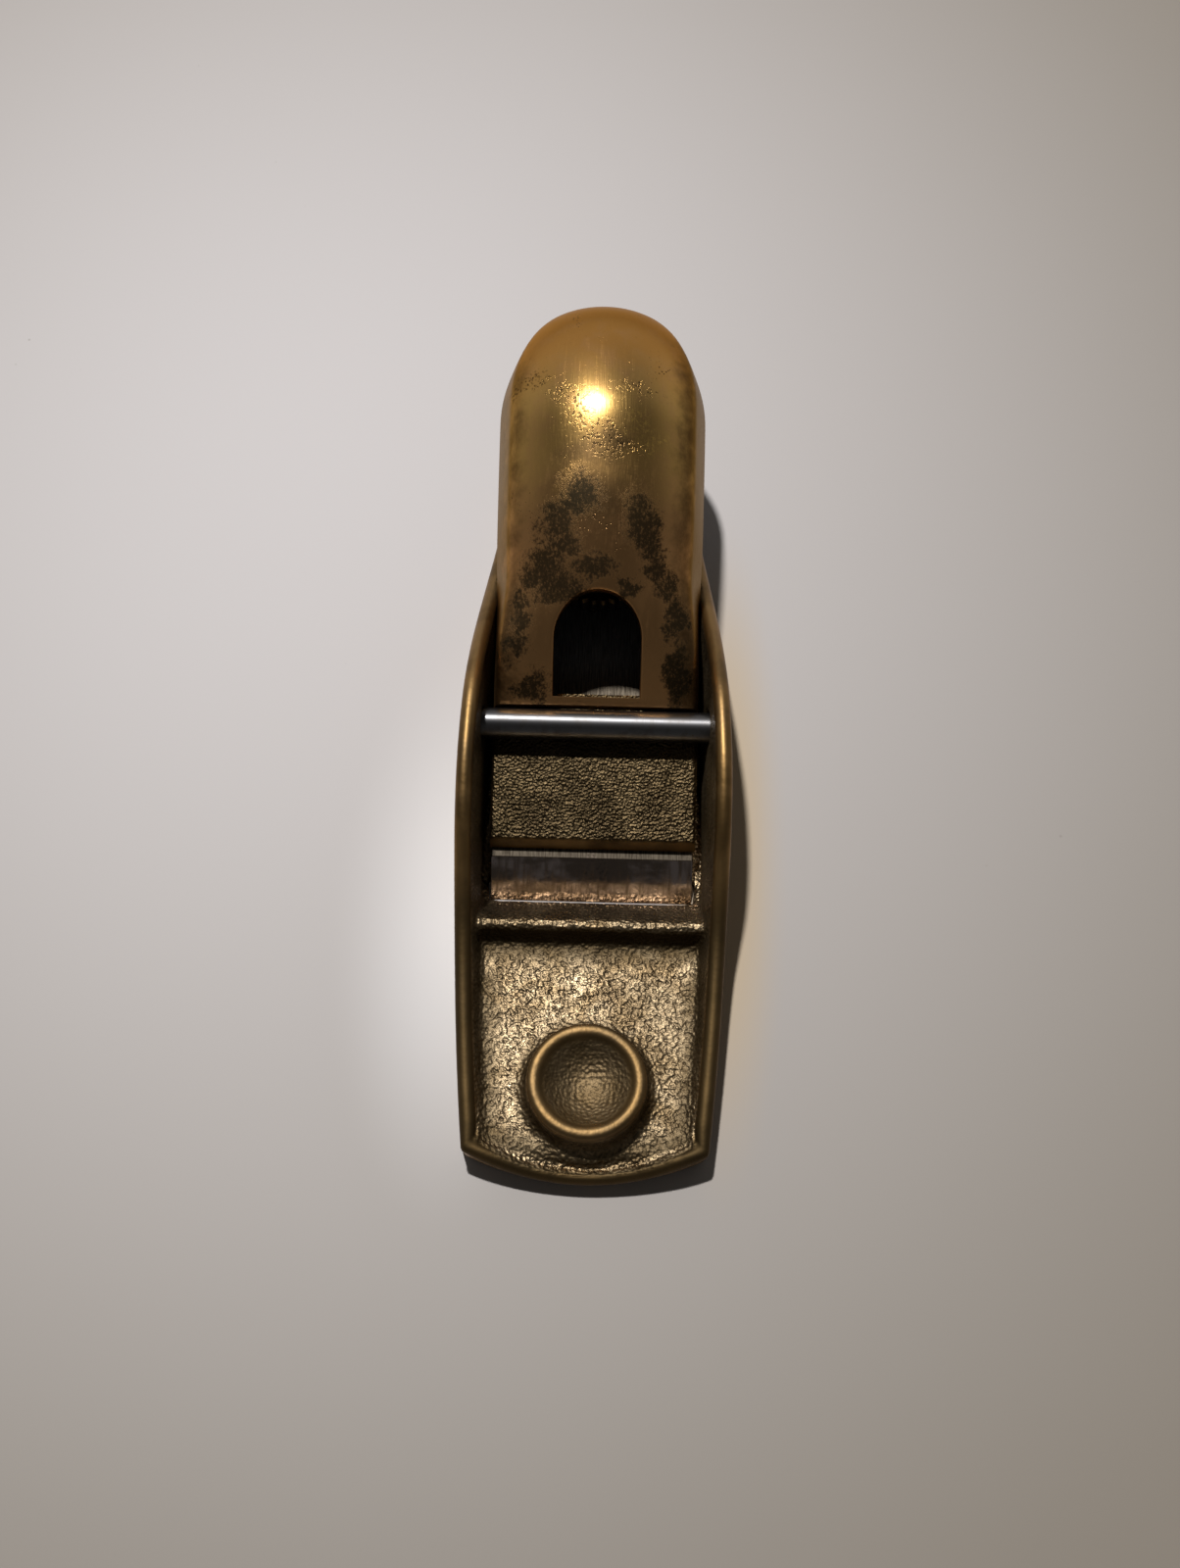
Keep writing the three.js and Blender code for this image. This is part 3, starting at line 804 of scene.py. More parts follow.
def wire_grain(bench: NodeBench, given: Sockets) -> Sockets:
    """Rounded lumps of a sand skin, with finer grains over them.

    Args:
        bench: the group's nodes.
        given: its inputs by name.

    Returns:
        Its outputs by name.
    """
    finer = 2.1
    lump_share, grain_share = 1.5, 0.45
    fleck = (0.52, 0.66)
    lumps = bench.clouds(given["Vector"], given["Fineness"], 0.0)
    grains = bench.clouds(given["Vector"], bench.times(given["Fineness"], finer), 2.0, 0.55)
    height = bench.plus(bench.times(lumps, lump_share), bench.times(grains, grain_share))
    return {"Height": height, "Flecks": bench.steps(grains, *fleck)}


def wire_tarnish(bench: NodeBench, given: Sockets) -> Sockets:
    """Clouds of brown over bare metal, and darker patches with ragged edges.

    Args:
        bench: the group's nodes.
        given: its inputs by name.

    Returns:
        Its outputs by name.
    """
    patch_stretch = (1.31, 0.87, 1.17)
    browning = (0.38, 0.66)
    patch_start, patch_full = 0.6, 0.9
    drift = bench.clouds(given["Vector"], given["Fineness"], 3.0, 0.55, 0.6)
    patches = bench.clouds(
        bench.stretched(given["Vector"], patch_stretch), given["Fineness"], 6.0, 0.68, 0.3
    )
    brown = bench.mixed(bench.steps(drift, *browning), given["Bare"], given["Brown"])
    edge = bench.minus(1.0, given["Amount"])
    dark = bench.steps(patches, bench.times(edge, patch_start), patch_full)
    return {"Colour": bench.mixed(dark, brown, given["Dark"]), "Dark patches": dark}


def wire_scratches(bench: NodeBench, given: Sockets) -> Sockets:
    """Fine lines that run along the piece.

    Args:
        bench: the group's nodes.
        given: its inputs by name.

    Returns:
        Its outputs by name.
    """
    along, across = (1.0, 0.03, 0.25), (0.22, 1.0, 0.2)
    line, breaks = (0.52, 0.7), (0.3, 0.6)
    lines = bench.clouds(bench.stretched(given["Vector"], along), given["Fineness"], 2.0)
    crossing = bench.clouds(bench.stretched(given["Vector"], across), given["Fineness"], 1.0)
    lines = bench.times(bench.steps(lines, *line), given["Amount"])
    return {"Height": lines, "Marks": bench.times(lines, bench.steps(crossing, *breaks))}


def wire_pits(bench: NodeBench, given: Sockets) -> Sockets:
    """Small dark pits gathered in drifts.

    Args:
        bench: the group's nodes.
        given: its inputs by name.

    Returns:
        Its outputs by name.
    """
    drift_size = 0.09
    drifts, soft_edge = (0.45, 0.75), 0.12
    spots = bench.cells(given["Vector"], given["Fineness"])
    drift = bench.clouds(given["Vector"], bench.times(given["Fineness"], drift_size), 3.0, 0.6)
    size = bench.times(bench.steps(drift, *drifts), given["Amount"])
    return {"Pits": bench.steps(bench.minus(size, spots), 0.0, soft_edge)}


VECTOR, VALUE, COLOUR = "NodeSocketVector", "NodeSocketFloat", "NodeSocketColor"
GRAIN = Effect(
    "sand grain", (("Vector", VECTOR, None), ("Fineness", VALUE, 1000.0)),
    (("Height", VALUE), ("Flecks", VALUE)), wire_grain,
)
TARNISH = Effect(
    "tarnish",
    (("Vector", VECTOR, None), ("Fineness", VALUE, 100.0), ("Amount", VALUE, 0.5),
     ("Bare", COLOUR, None), ("Brown", COLOUR, None), ("Dark", COLOUR, None)),
    (("Colour", COLOUR), ("Dark patches", VALUE)), wire_tarnish,
)
SCRATCHES = Effect(
    "fine scratches",
    (("Vector", VECTOR, None), ("Fineness", VALUE, 4000.0), ("Amount", VALUE, 1.0)),
    (("Height", VALUE), ("Marks", VALUE)), wire_scratches,
)
PITS = Effect(
    "pits", (("Vector", VECTOR, None), ("Fineness", VALUE, 1500.0), ("Amount", VALUE, 0.5)),
    (("Pits", VALUE),), wire_pits,
)


@dataclass(frozen=True)
class Finish:
    """A material with one Principled shader, whose pattern a subclass wires."""

    name: str
    metallic: float = 1.0

    @cache
    def material(self) -> Material:
        """The material, built on its first use.

        Returns:
            The material with its pattern wired.
        """
        made = bpy.data.materials.new(self.name)
        made.use_nodes = True
        made.node_tree.nodes.clear()
        bench = NodeBench(made.node_tree)
        inputs = {"Metallic": self.metallic, **self.pattern(bench)}
        shader = bench.node("ShaderNodeBsdfPrincipled", inputs)
        bench.node("ShaderNodeOutputMaterial", {"Surface": shader.outputs[0]})
        return made

    def pattern(self, bench: NodeBench) -> dict[str, object]:
        """What the shader's inputs are fed, by name; each finish has its own."""
        raise NotImplementedError


@dataclass(frozen=True)
class CastBronze(Finish):
    """Sand-cast bronze that turns smooth and worn where the mesh's cast mask fades."""

    bare: Colour = (0.48, 0.365, 0.225)
    brown: Colour = (0.25, 0.175, 0.093)
    dark: Colour = (0.10, 0.07, 0.04)
    worn: Colour = (0.32, 0.195, 0.078)
    worn_brown: Colour = (0.20, 0.12, 0.045)
    patina_and_shade: Colour = (0.056, 0.039, 0.018)
    grain: float = 1900.0
    grain_depth: float = 0.00025
    hollows: Span = (1.02, 0.72)
    hollow_dirt: float = 0.45
    cast_gloss: Span = (0.38, 0.24)
    worn_gloss: Span = (0.44, 0.50)
    grimy_gloss: float = 0.62
    worn_grain: float = 0.04
    mark_depth: float = 0.000008

    def pattern(self, bench: NodeBench) -> dict[str, object]:
        """Grain, flecks and tarnish on cast skin; drifts and fine marks on worn metal.

        Args:
            bench: the material's nodes.

        Returns:
            What the shader is fed.
        """
        place = bench.place()
        cast, grime_and_shade = bench.mask("cast"), bench.mask("grime_and_shade")
        grain = GRAIN.on(bench, Vector=place, Fineness=self.grain)
        rough = TARNISH.on(
            bench, Vector=place, Fineness=160.0, Amount=0.42,
            Bare=self.bare, Brown=self.brown, Dark=self.dark,
        )
        worn = TARNISH.on(
            bench, Vector=place, Fineness=90.0, Amount=0.35,
            Bare=self.worn, Brown=self.worn_brown, Dark=self.dark,
        )
        marks = SCRATCHES.on(bench, Vector=place, Fineness=2600.0, Amount=1.0)
        colour = bench.mixed(cast, worn["Colour"], rough["Colour"])
        low = bench.steps(grain["Height"], *self.hollows)
        dirt = bench.times(low, bench.times(cast, self.hollow_dirt))
        colour = bench.mixed(dirt, colour, self.dark)
        skin = bench.between(grain["Flecks"], *self.cast_gloss)
        polish = bench.between(marks["Marks"], *self.worn_gloss)
        gloss = bench.between(cast, polish, skin)
        lift = bench.times(grain["Height"], bench.most(cast, self.worn_grain))
        normal = bench.bumped(lift, self.grain_depth, 0.8)
        return {
            # The darkening mask takes the colour towards dark brown: real dirt in some patches, painted
            # shade in others.
            "Base Color": bench.mixed(grime_and_shade, colour, self.patina_and_shade),
            "Roughness": bench.between(grime_and_shade, gloss, self.grimy_gloss),
            "Normal": bench.bumped(marks["Height"], self.mark_depth, 0.5, Normal=normal),
        }


@dataclass(frozen=True)
class Stain:
    """A patch on the hood, by its middle and its half sizes in millimetres."""

    x: float
    y: float
    across: float
    along: float

    def mask(self, bench: NodeBench, place: NodeSocket) -> NodeSocket:
        """1 in the middle of the patch, falling to 0 at its edge.

        Args:
            bench: the material's nodes.
            place: where on the hood the mask is read.

        Returns:
            The mask.
        """
        outside, inside = 1.5, 0.3
        sizes = (1.0 / (self.across * MM), 1.0 / (self.along * MM), 0.0)
        apart = bench.apart(place, (self.x * MM, self.y * MM, 0.0), sizes)
        return bench.steps(apart, outside, inside)


@dataclass(frozen=True)
class HoodBronze(Finish):
    """Satin-polished bronze with clouds of tarnish, dark pitted patches and fine scratches."""

    gold: Colour = (0.66, 0.40, 0.125)
    orange: Colour = (0.62, 0.31, 0.085)
    copper: Colour = (0.64, 0.345, 0.140)
    flank_shade: Colour = (0.13, 0.074, 0.030)
    edge: Colour = (0.72, 0.60, 0.44)
    olive: Colour = (0.024, 0.021, 0.013)
    smoke_and_shade: Colour = (0.21, 0.125, 0.055)
    pit: Colour = (0.06, 0.035, 0.018)
    bright: Colour = (0.95, 0.60, 0.16)
    painted_inside_shade: Colour = (0.012, 0.009, 0.007)
    turns_gold: Span = (0.024, 0.038)
    turns_orange: Span = (0.043, 0.056)
    film: Span = (0.45, 0.75)
    film_share: float = 0.45
    ridge_offset: float = 0.0006
    shaded_flank: Span = (0.0105, 0.0155)
    shaded_flank_share: float = 0.92
    smoke_and_shade_share: float = 0.75
    fur_grain: float = 2300.0
    stain_pull: float = 0.34
    stain_edge: Span = (0.58, 0.84)
    stain_share: float = 0.92
    pit_share: float = 0.75
    ragged_grain: float = 260.0
    ragged_reach: float = 0.007
    crest_at: float = 0.043
    beside_crest: Span = (0.004, 0.011)
    aside: Span = (0.005, 0.009)
    coat: float = 0.45
    coat_gloss: float = 0.17
    gloss: Span = (0.275, 0.30)
    mark_gloss: float = 0.05
    stained_gloss: float = 0.50
    cast_gloss: float = 0.46
    worn_grain: float = 0.03
    stain_hollow: float = 0.5
    grain_depth: float = 0.00014
    hollow_depth: float = 0.00004
    mark_depth: float = 0.000002
    brush_depth: float = 0.000014
    stains: tuple[Stain, ...] = (
        Stain(-3.5, 29.0, 3.6, 3.4), Stain(-6.8, 26.0, 3.6, 3.4), Stain(-5.7, 23.2, 3.2, 2.6),
        Stain(-8.7, 20.0, 4.2, 3.4), Stain(-6.3, 17.0, 4.8, 2.8), Stain(-1.2, 19.6, 4.4, 2.0),
        Stain(-12.3, 14.8, 2.2, 4.4), Stain(-13.0, 10.6, 2.8, 2.4), Stain(-10.4, 5.3, 3.8, 1.8),
        Stain(6.2, 26.2, 3.2, 4.4), Stain(7.3, 23.4, 2.8, 2.6), Stain(8.5, 20.4, 2.0, 2.2),
        Stain(10.4, 18.6, 2.0, 2.4), Stain(12.0, 14.2, 1.9, 4.0), Stain(12.4, 7.2, 2.2, 4.6),
        Stain(4.4, 17.6, 2.4, 1.2),
    )
    worn_through: tuple[Stain, ...] = (
        Stain(-6.0, 44.9, 2.3, 1.6), Stain(-0.4, 38.3, 3.4, 1.7), Stain(5.0, 45.4, 3.6, 1.2),
        Stain(-11.5, 48.6, 3.8, 1.8), Stain(-3.8, 42.0, 2.4, 3.2), Stain(2.4, 36.0, 4.6, 1.8),
    )
    golden: tuple[Stain, ...] = (Stain(5.2, 40.4, 2.2, 1.8), Stain(7.8, 37.6, 2.2, 2.6))
    # Brown tarnish patches below the crest, laid darker there as painted shade too, cutting back the
    # lamp's reflection on the hood's front slope.
    smoked_and_shaded_patches: tuple[Stain, ...] = (
        Stain(-1.8, 35.4, 5.0, 3.6), Stain(1.6, 37.0, 3.2, 1.8), Stain(-2.0, 29.0, 6.0, 4.0),
    )

    def pattern(self, bench: NodeBench) -> dict[str, object]:
        """Copper in front, gold in the middle, orange at the back, with patches and pits.

        Args:
            bench: the material's nodes.

        Returns:
            What the shader is fed.
        """
        place, cast = bench.place(), bench.mask("cast")
        strayed = self._strayed(bench, place)
        axes = bench.axes(strayed)
        fur = bench.clouds(bench.stretched(place, (1.0, 0.6, 0.8)), self.fur_grain, 5.0, 0.85)
        thick = bench.times(self._any(bench, strayed, self.stains), self.stain_pull)
        stain = bench.steps(bench.plus(fur, thick), *self.stain_edge)
        pits = PITS.on(bench, Vector=place, Fineness=1700.0, Amount=0.36)
        near = bench.steps(self._any(bench, strayed, self.worn_through), 0.1, 0.8)
        pitted = bench.steps(bench.clouds(place, 2100.0, 2.0, 0.6), 0.53, 0.62)
        pitted = bench.most(bench.times(pitted, near), pits["Pits"])
        flecks = bench.steps(bench.clouds(place, 1900.0, 2.0, 0.7), 0.52, 0.64)
        flecks = bench.times(flecks, self._any(bench, strayed, self.golden))
        colour = self._metal_colour(bench, place, strayed)
        colour = bench.mixed(bench.times(stain, self.stain_share), colour, self.olive)
        colour = bench.mixed(bench.times(pitted, self.pit_share), colour, self.pit)
        colour = bench.mixed(flecks, colour, self.bright)
        # Painted shade: the hood's inner side is coloured near black, as the shade under the hood.
        colour = bench.mixed(bench.mask("inside"), colour, self.painted_inside_shade)
        marks = SCRATCHES.on(bench, Vector=place, Fineness=3500.0, Amount=1.0)
        beside = bench.size(bench.minus(axes["Y"], self.crest_at))
        beside = bench.steps(beside, *self.beside_crest)
        aside = bench.steps(bench.size(axes["X"]), *self.aside)
        bare = bench.minus(1.0, bench.most(beside, aside))
        gloss = bench.between(beside, *self.gloss)
        gloss = bench.plus(gloss, bench.times(marks["Marks"], self.mark_gloss))
        gloss = bench.between(stain, gloss, self.stained_gloss)
        grain = GRAIN.on(bench, Vector=place, Fineness=1500.0)
        lift = bench.times(grain["Height"], bench.most(cast, self.worn_grain))
        normal = bench.bumped(lift, self.grain_depth, 0.6)
        hollow = bench.most(pitted, bench.times(stain, self.stain_hollow))
        normal = bench.bumped(bench.minus(1.0, hollow), self.hollow_depth, 0.6, Normal=normal)
        normal = bench.bumped(marks["Height"], self.mark_depth, 0.4, Normal=normal)
        brushed = bench.clouds(bench.stretched(place, (1.0, 0.03, 0.35)), 6500.0, 2.0, 0.6)
        return {
            "Base Color": colour,
            "Roughness": bench.between(cast, gloss, self.cast_gloss),
            "Specular Tint": self.edge,
            "Coat Weight": bench.times(bare, self.coat),
            "Coat Roughness": self.coat_gloss,
            "Normal": bench.bumped(brushed, self.brush_depth, 0.9, Normal=normal),
        }

    def _any(self, bench: NodeBench, place: NodeSocket, stains: Sequence[Stain]) -> NodeSocket:
        """Where any of the patches lies.

        Args:
            bench: the material's nodes.
            place: where on the hood the mask is read.
            stains: the patches.

        Returns:
            The largest of their masks.
        """
        mask = stains[0].mask(bench, place)
        for stain in stains[1:]:
            mask = bench.most(mask, stain.mask(bench, place))
        return mask

    def _strayed(self, bench: NodeBench, place: NodeSocket) -> NodeSocket:
        """The place pushed about by noise, so that patches get ragged outlines.

        Args:
            bench: the material's nodes.
            place: the true place.

        Returns:
            The place with its noise.
        """
        drift = bench.clouds(place, self.ragged_grain, 4.0, 0.65, output="Color")
        reach = (self.ragged_reach,) * 3
        shift = bench.vectors("MULTIPLY_ADD", drift, reach, place).outputs[0]
        return bench.vectors("SUBTRACT", shift, (self.ragged_reach / 2.0,) * 3).outputs[0]

    def _metal_colour(self, bench: NodeBench, place: NodeSocket, strayed: NodeSocket) -> NodeSocket:
        """The metal's colour with its film, painted shade along its sides, and brown tarnish patches
        that are partly painted shade.

        Args:
            bench: the material's nodes.
            place: the true place.
            strayed: the place with its noise.

        Returns:
            The colour.
        """
        axes = bench.axes(strayed)
        colour = bench.mixed(bench.steps(axes["Y"], *self.turns_gold), self.copper, self.gold)
        colour = bench.mixed(bench.steps(axes["Y"], *self.turns_orange), colour, self.orange)
        film = bench.steps(bench.clouds(place, 240.0, 4.0, 0.6, 0.5), *self.film)
        colour = bench.mixed(bench.times(film, self.film_share), colour, self.copper)
        # Painted shade: the hood darkens towards a dark brown out along both sides of its arch, where
        # the light falls away.
        out = bench.size(bench.plus(axes["X"], self.ridge_offset))
        out = bench.times(bench.steps(out, *self.shaded_flank), self.shaded_flank_share)
        colour = bench.mixed(out, colour, self.flank_shade)
        # Brown tarnish patches, partly painted shade below the lamp's reflection.
        smoke_and_shade = bench.times(self._any(bench, strayed, self.smoked_and_shaded_patches), self.smoke_and_shade_share)
        return bench.mixed(smoke_and_shade, colour, self.smoke_and_shade)


@dataclass(frozen=True)
class TurnedBrass(Finish):
    """Machined brass with a thin film of tarnish."""

    bare: Colour = (0.62, 0.47, 0.22)
    brown: Colour = (0.40, 0.27, 0.12)
    dark: Colour = (0.10, 0.07, 0.04)
    gloss: Span = (0.32, 0.5)
    mark_depth: float = 0.00001

    def pattern(self, bench: NodeBench) -> dict[str, object]:
        """Soft tarnish and fine turning marks.

        Args:
            bench: the material's nodes.

        Returns:
            What the shader is fed.
        """
        place = bench.place()
        film = TARNISH.on(bench, Vector=place, Fineness=220.0, Amount=0.35,
                          Bare=self.bare, Brown=self.brown, Dark=self.dark)
        marks = SCRATCHES.on(bench, Vector=place, Fineness=5000.0, Amount=1.0)
        return {
            "Base Color": film["Colour"],
            "Roughness": bench.between(film["Dark patches"], *self.gloss),
            "Normal": bench.bumped(marks["Height"], self.mark_depth, 0.5),
        }


@dataclass(frozen=True)
class BarSteel(Finish):
    """Polished or machined steel with faint marks and dull spots."""

    bright: Colour = (0.19, 0.188, 0.195)
    dull: Colour = (0.135, 0.128, 0.125)
    spot: Colour = (0.16, 0.12, 0.09)
    smooth: float = 0.31
    rough: float = 0.36
    mark_depth: float = 0.000002

    def pattern(self, bench: NodeBench) -> dict[str, object]:
        """Clouds of dullness, pin-prick stains and fine scratches.

        Args:
            bench: the material's nodes.

        Returns:
            What the shader is fed.
        """
        place = bench.place()
        haze = bench.clouds(place, 420.0, 4.0, 0.6)
        spots = PITS.on(bench, Vector=place, Fineness=1900.0, Amount=0.35)
        marks = SCRATCHES.on(bench, Vector=place, Fineness=4200.0, Amount=1.0)
        colour = bench.mixed(bench.steps(haze, 0.42, 0.7), self.bright, self.dull)
        return {
            "Base Color": bench.mixed(spots["Pits"], colour, self.spot),
            "Roughness": bench.between(bench.steps(haze, 0.4, 0.75), self.smooth, self.rough),
            "Normal": bench.bumped(marks["Height"], self.mark_depth, 0.3),
        }


@dataclass(frozen=True)
class BladeSteel(Finish):
    """Ground steel: dull with close marks on the flat, and honed bright on the bevel."""

    flat: Colour = (0.26, 0.258, 0.262)
    flat_dark: Colour = (0.13, 0.127, 0.125)
    forward_flat: Colour = (0.13, 0.108, 0.082)
    forward_flat_dark: Colour = (0.045, 0.036, 0.027)
    bevel: Colour = (0.64, 0.53, 0.49)
    smudge: Colour = (0.27, 0.21, 0.17)
    speck: Colour = (0.14, 0.11, 0.09)
    flat_above: Span = (0.00308, 0.00316)
    flat_behind: Span = (0.012, 0.013)
    forward_flat_before: Span = (0.040, 0.034)
    grinding: Span = (0.36, 0.64)
    honed_gloss: Span = (0.10, 0.24)
    ground_gloss: float = 0.46
    grind_depth: float = 0.00003

    def pattern(self, bench: NodeBench) -> dict[str, object]:
        """The bevel is where the surface lies below the blade's upper face.

        Args:
            bench: the material's nodes.

        Returns:
            What the shader is fed.
        """
        start = tuple(SIZES.on_bed(0.0, 0.0, 0.0) * MM)
        inputs = dict(Vector=bench.place(), Location=start, Rotation=(SIZES.bed_angle, 0.0, 0.0))
        on_bed = bench.node("ShaderNodeMapping", inputs, vector_type="TEXTURE").outputs[0]
        axes = bench.axes(on_bed)
        on_flat = bench.most(bench.steps(axes["Z"], *self.flat_above),
                             bench.steps(axes["Y"], *self.flat_behind))
        grind = bench.clouds(bench.stretched(on_bed, (1.0, 0.06, 0.06)), 5200.0, 3.0, 0.6)
        hone = bench.clouds(bench.stretched(on_bed, (1.0, 0.10, 0.10)), 1500.0, 4.0, 0.6)
        specks = PITS.on(bench, Vector=on_bed, Fineness=2300.0, Amount=0.5)
        ground = bench.steps(grind, *self.grinding)
        clean = bench.mixed(ground, self.flat_dark, self.flat)
        forward_flat = bench.mixed(ground, self.forward_flat_dark, self.forward_flat)
        # Forward of about 34 to 40 mm along the bed the flat takes a darker, browner colour.
        flat = bench.mixed(bench.steps(axes["Y"], *self.forward_flat_before), clean, forward_flat)
        bevel = bench.mixed(bench.steps(hone, 0.40, 0.7), self.bevel, self.smudge)
        smears = bench.clouds(bench.stretched(on_bed, (0.5, 1.0, 1.0)), 210.0, 4.0, 0.6)
        bevel = bench.mixed(bench.steps(smears, 0.46, 0.60), bevel, self.smudge)
        colour = bench.mixed(on_flat, bevel, flat)
        polish = bench.between(bench.steps(hone, 0.35, 0.75), *self.honed_gloss)
        lift = bench.times(grind, bench.most(on_flat, 0.12))
        return {
            "Base Color": bench.mixed(specks["Pits"], colour, self.speck),
            "Roughness": bench.between(on_flat, polish, self.ground_gloss),
            "Normal": bench.bumped(lift, self.grind_depth, 0.5),
        }


@dataclass(frozen=True)
class PaintedLightPool:
    """A pool of painted light on the table top, in another colour; places and reaches are in metres."""

    colour: Colour
    at: Point
    reach: float
    full_within: float
    stretch: Point
    share: float

    def over(self, bench: NodeBench, place: NodeSocket, colour: NodeSocket) -> NodeSocket:
        """Lays the painted light over a colour.

        Args:
            bench: the material's nodes.
            place: where on the table it is read.
            colour: the colour below.

        Returns:
            The colour with its pool.
        """
        apart = bench.apart(place, (*self.at, 0.0), (*self.stretch, 0.0))
        near = bench.times(bench.steps(apart, self.reach, self.full_within), self.share)
        return bench.mixed(near, colour, self.colour)


@dataclass(frozen=True)
class PaintedTop(Finish):
    """The pale table top, with painted lamp light: palest to the left of the plane's back, in painted
    shade away from there.
    """

    pale: Colour = (0.640, 0.610, 0.618)
    shade: Colour = (0.275, 0.240, 0.200)
    speck: Colour = (0.30, 0.27, 0.24)
    painted_light_centre: Point = (-0.048, 0.061)
    stretch: Point = (1.11, 1.0)
    reach: float = 0.26
    cloudiness: float = 0.03
    gloss: float = 0.55
    sheen: float = 0.35
    # Painted light: a pale pool thrown off the bronze's left wall, and warm light bounced from the
    # bronze into the shadow on the right.
    painted_light_pools: tuple[PaintedLightPool, ...] = (
        PaintedLightPool((0.84, 0.82, 0.83), (-0.021, -0.026), 0.021, 0.0, (1.0, 0.4), 0.85),
        PaintedLightPool((0.56, 0.42, 0.25), (0.0205, -0.012), 0.0115, 0.003, (1.0, 0.18), 0.8),
    )

    def pattern(self, bench: NodeBench) -> dict[str, object]:
        """Painted falloff of the lamp's light, faint clouds, pools of painted light, specks, and a soft
        sheen.

        Args:
            bench: the material's nodes.

        Returns:
            What the shader is fed.
        """
        place = bench.place()
        # Painted light: the colour falls from pale at the lamp's pool to the painted shade colour with
        # distance.
        away = bench.apart(place, (*self.painted_light_centre, 0.0), (*self.stretch, 0.0))
        away = bench.steps(away, 0.0, self.reach)
        away = bench.plus(away, bench.times(bench.clouds(place, 9.0, 4.0, 0.6), self.cloudiness))
        colour = bench.mixed(away, self.pale, self.shade)
        for light_pool in self.painted_light_pools:
            colour = light_pool.over(bench, place, colour)
        specks = PITS.on(bench, Vector=place, Fineness=240.0, Amount=0.10)
        return {
            "Base Color": bench.mixed(specks["Pits"], colour, self.speck),
            "Roughness": self.gloss,
            "Specular IOR Level": self.sheen,
        }


@dataclass(frozen=True)
class Finishes:
    """Every finish in the scene."""

    casting: Finish = CastBronze("cast bronze")
    hood: Finish = HoodBronze("polished hood bronze")
    plate: Finish = CastBronze(
        "cap plate bronze", bare=(0.110, 0.078, 0.040), brown=(0.060, 0.042, 0.021),
        dark=(0.04, 0.028, 0.015), worn=(0.26, 0.17, 0.07), worn_brown=(0.16, 0.10, 0.04),
        grain=2650.0, grain_depth=0.00019)
    brass: Finish = TurnedBrass("knurled brass")
    # The lock wheel gets a much darker brass as painted shade, for it sits in the dark under the hood.
    wheel: Finish = TurnedBrass(
        "wheel brass in painted shade", bare=(0.12, 0.085, 0.04), brown=(0.07, 0.05, 0.025))
    pin: Finish = BarSteel("polished pin steel")
    screw: Finish = BarSteel(
        "machined screw steel", bright=(0.48, 0.465, 0.45), smooth=0.28, rough=0.45)
    blade: Finish = BladeSteel("ground blade steel")
    table: Finish = PaintedTop("pale table top", metallic=0.0)


class By(Enum):
    """What bounds a patch on the casting, in millimetres but for the slopes and the beads."""

    X = "to the right"
    Y = "along"
    Z = "above the sole"
    UP = "facing up"
    BACK = "facing back"
    INSET = "in from the outline"
    PAST_FOOT = "in from the foot of the walls"
    PAST_LIP = "in from the worn lip"
    BELOW_RIM = "down from the rim"
    BEADS_BELOW_RIM = "down from the rim, in beads"
    FROM_NOSE = "back from the nose"
    PAST_DISH = "out from the dish"
    OFF_RING = "off the dish's ring"
    OFF_RIB = "off the rib's middle"
    PAST_RIB = "back from the rib's front"
    ABOVE_RIB = "above the rib's top"


@dataclass(frozen=True)
class Patch:
    """A patch of wear, dirt or painted shade; each bound runs from where it is nil to where it is full.
    """

    most: float
    bounds: tuple[tuple[By, float, float], ...]
    most_behind: Optional[float] = None

    def strength(self, at: dict[By, float]) -> float:
        """How strong the patch is at a point.

        Args:
            at: where the point lies.

        Returns:
            The strength, from 0 to 1.
        """
        toe_ends, behind_starts = -34.0, -27.0
        strength = self.most
        if self.most_behind is not None:
            behind = smoothstep(toe_ends, behind_starts, at[By.Y])
            strength = blend(self.most, self.most_behind, behind)
        for measure, none, full in self.bounds:
            strength *= smoothstep(none, full, at[measure])
        return strength


DISH_BOWL = (By.PAST_DISH, -1.2, -2.2)
DISH_RING = ((By.OFF_RING, 1.9, 1.1), (By.Z, 7.6, 8.6))
TOE_FLOOR = ((By.Y, -34.0, -38.0), (By.FROM_NOSE, 0.5, 4.0))
CAST_SKIN = Patch(1.0, ((By.INSET, 0.35, 0.8), (By.Z, 0.1, 0.5)))
WORN = (
    Patch(1.0, ((By.BEADS_BELOW_RIM, 1.15, 0.75), (By.PAST_LIP, 0.4, -0.4))),
    Patch(0.92, DISH_RING),
    Patch(0.45, (DISH_BOWL,)),
)
# Painted shade on the inner faces of the walls below the rim.
WALL_PAINTED_SHADE = Patch(0.80, (
    (By.UP, 0.75, 0.45), (By.INSET, 2.3, 3.0), (By.BELOW_RIM, 0.4, 1.4), (By.BACK, 0.55, 0.25),
), most_behind=0.62)
RIM_GRIME = Patch(0.80, (
    (By.BELOW_RIM, 1.4, 0.8), (By.INSET, 3.0, 2.4), (By.Y, -20.0, -32.0)))
# Painted shade on the dish's outer wall and round its foot, on the side away from the lamp.
DISH_FOOT_PAINTED_SHADE = Patch(0.7, (
    (By.PAST_DISH, 3.0, 0.0), (By.PAST_DISH, -3.0, -1.0), (By.Z, 8.0, 7.999)))
# The toe floor grows darker towards the right.
RIGHTWARD_DARKENING = Patch(0.22, ((By.X, 0.0, 10.0), (By.PAST_DISH, -2.2, -1.2), *TOE_FLOOR))
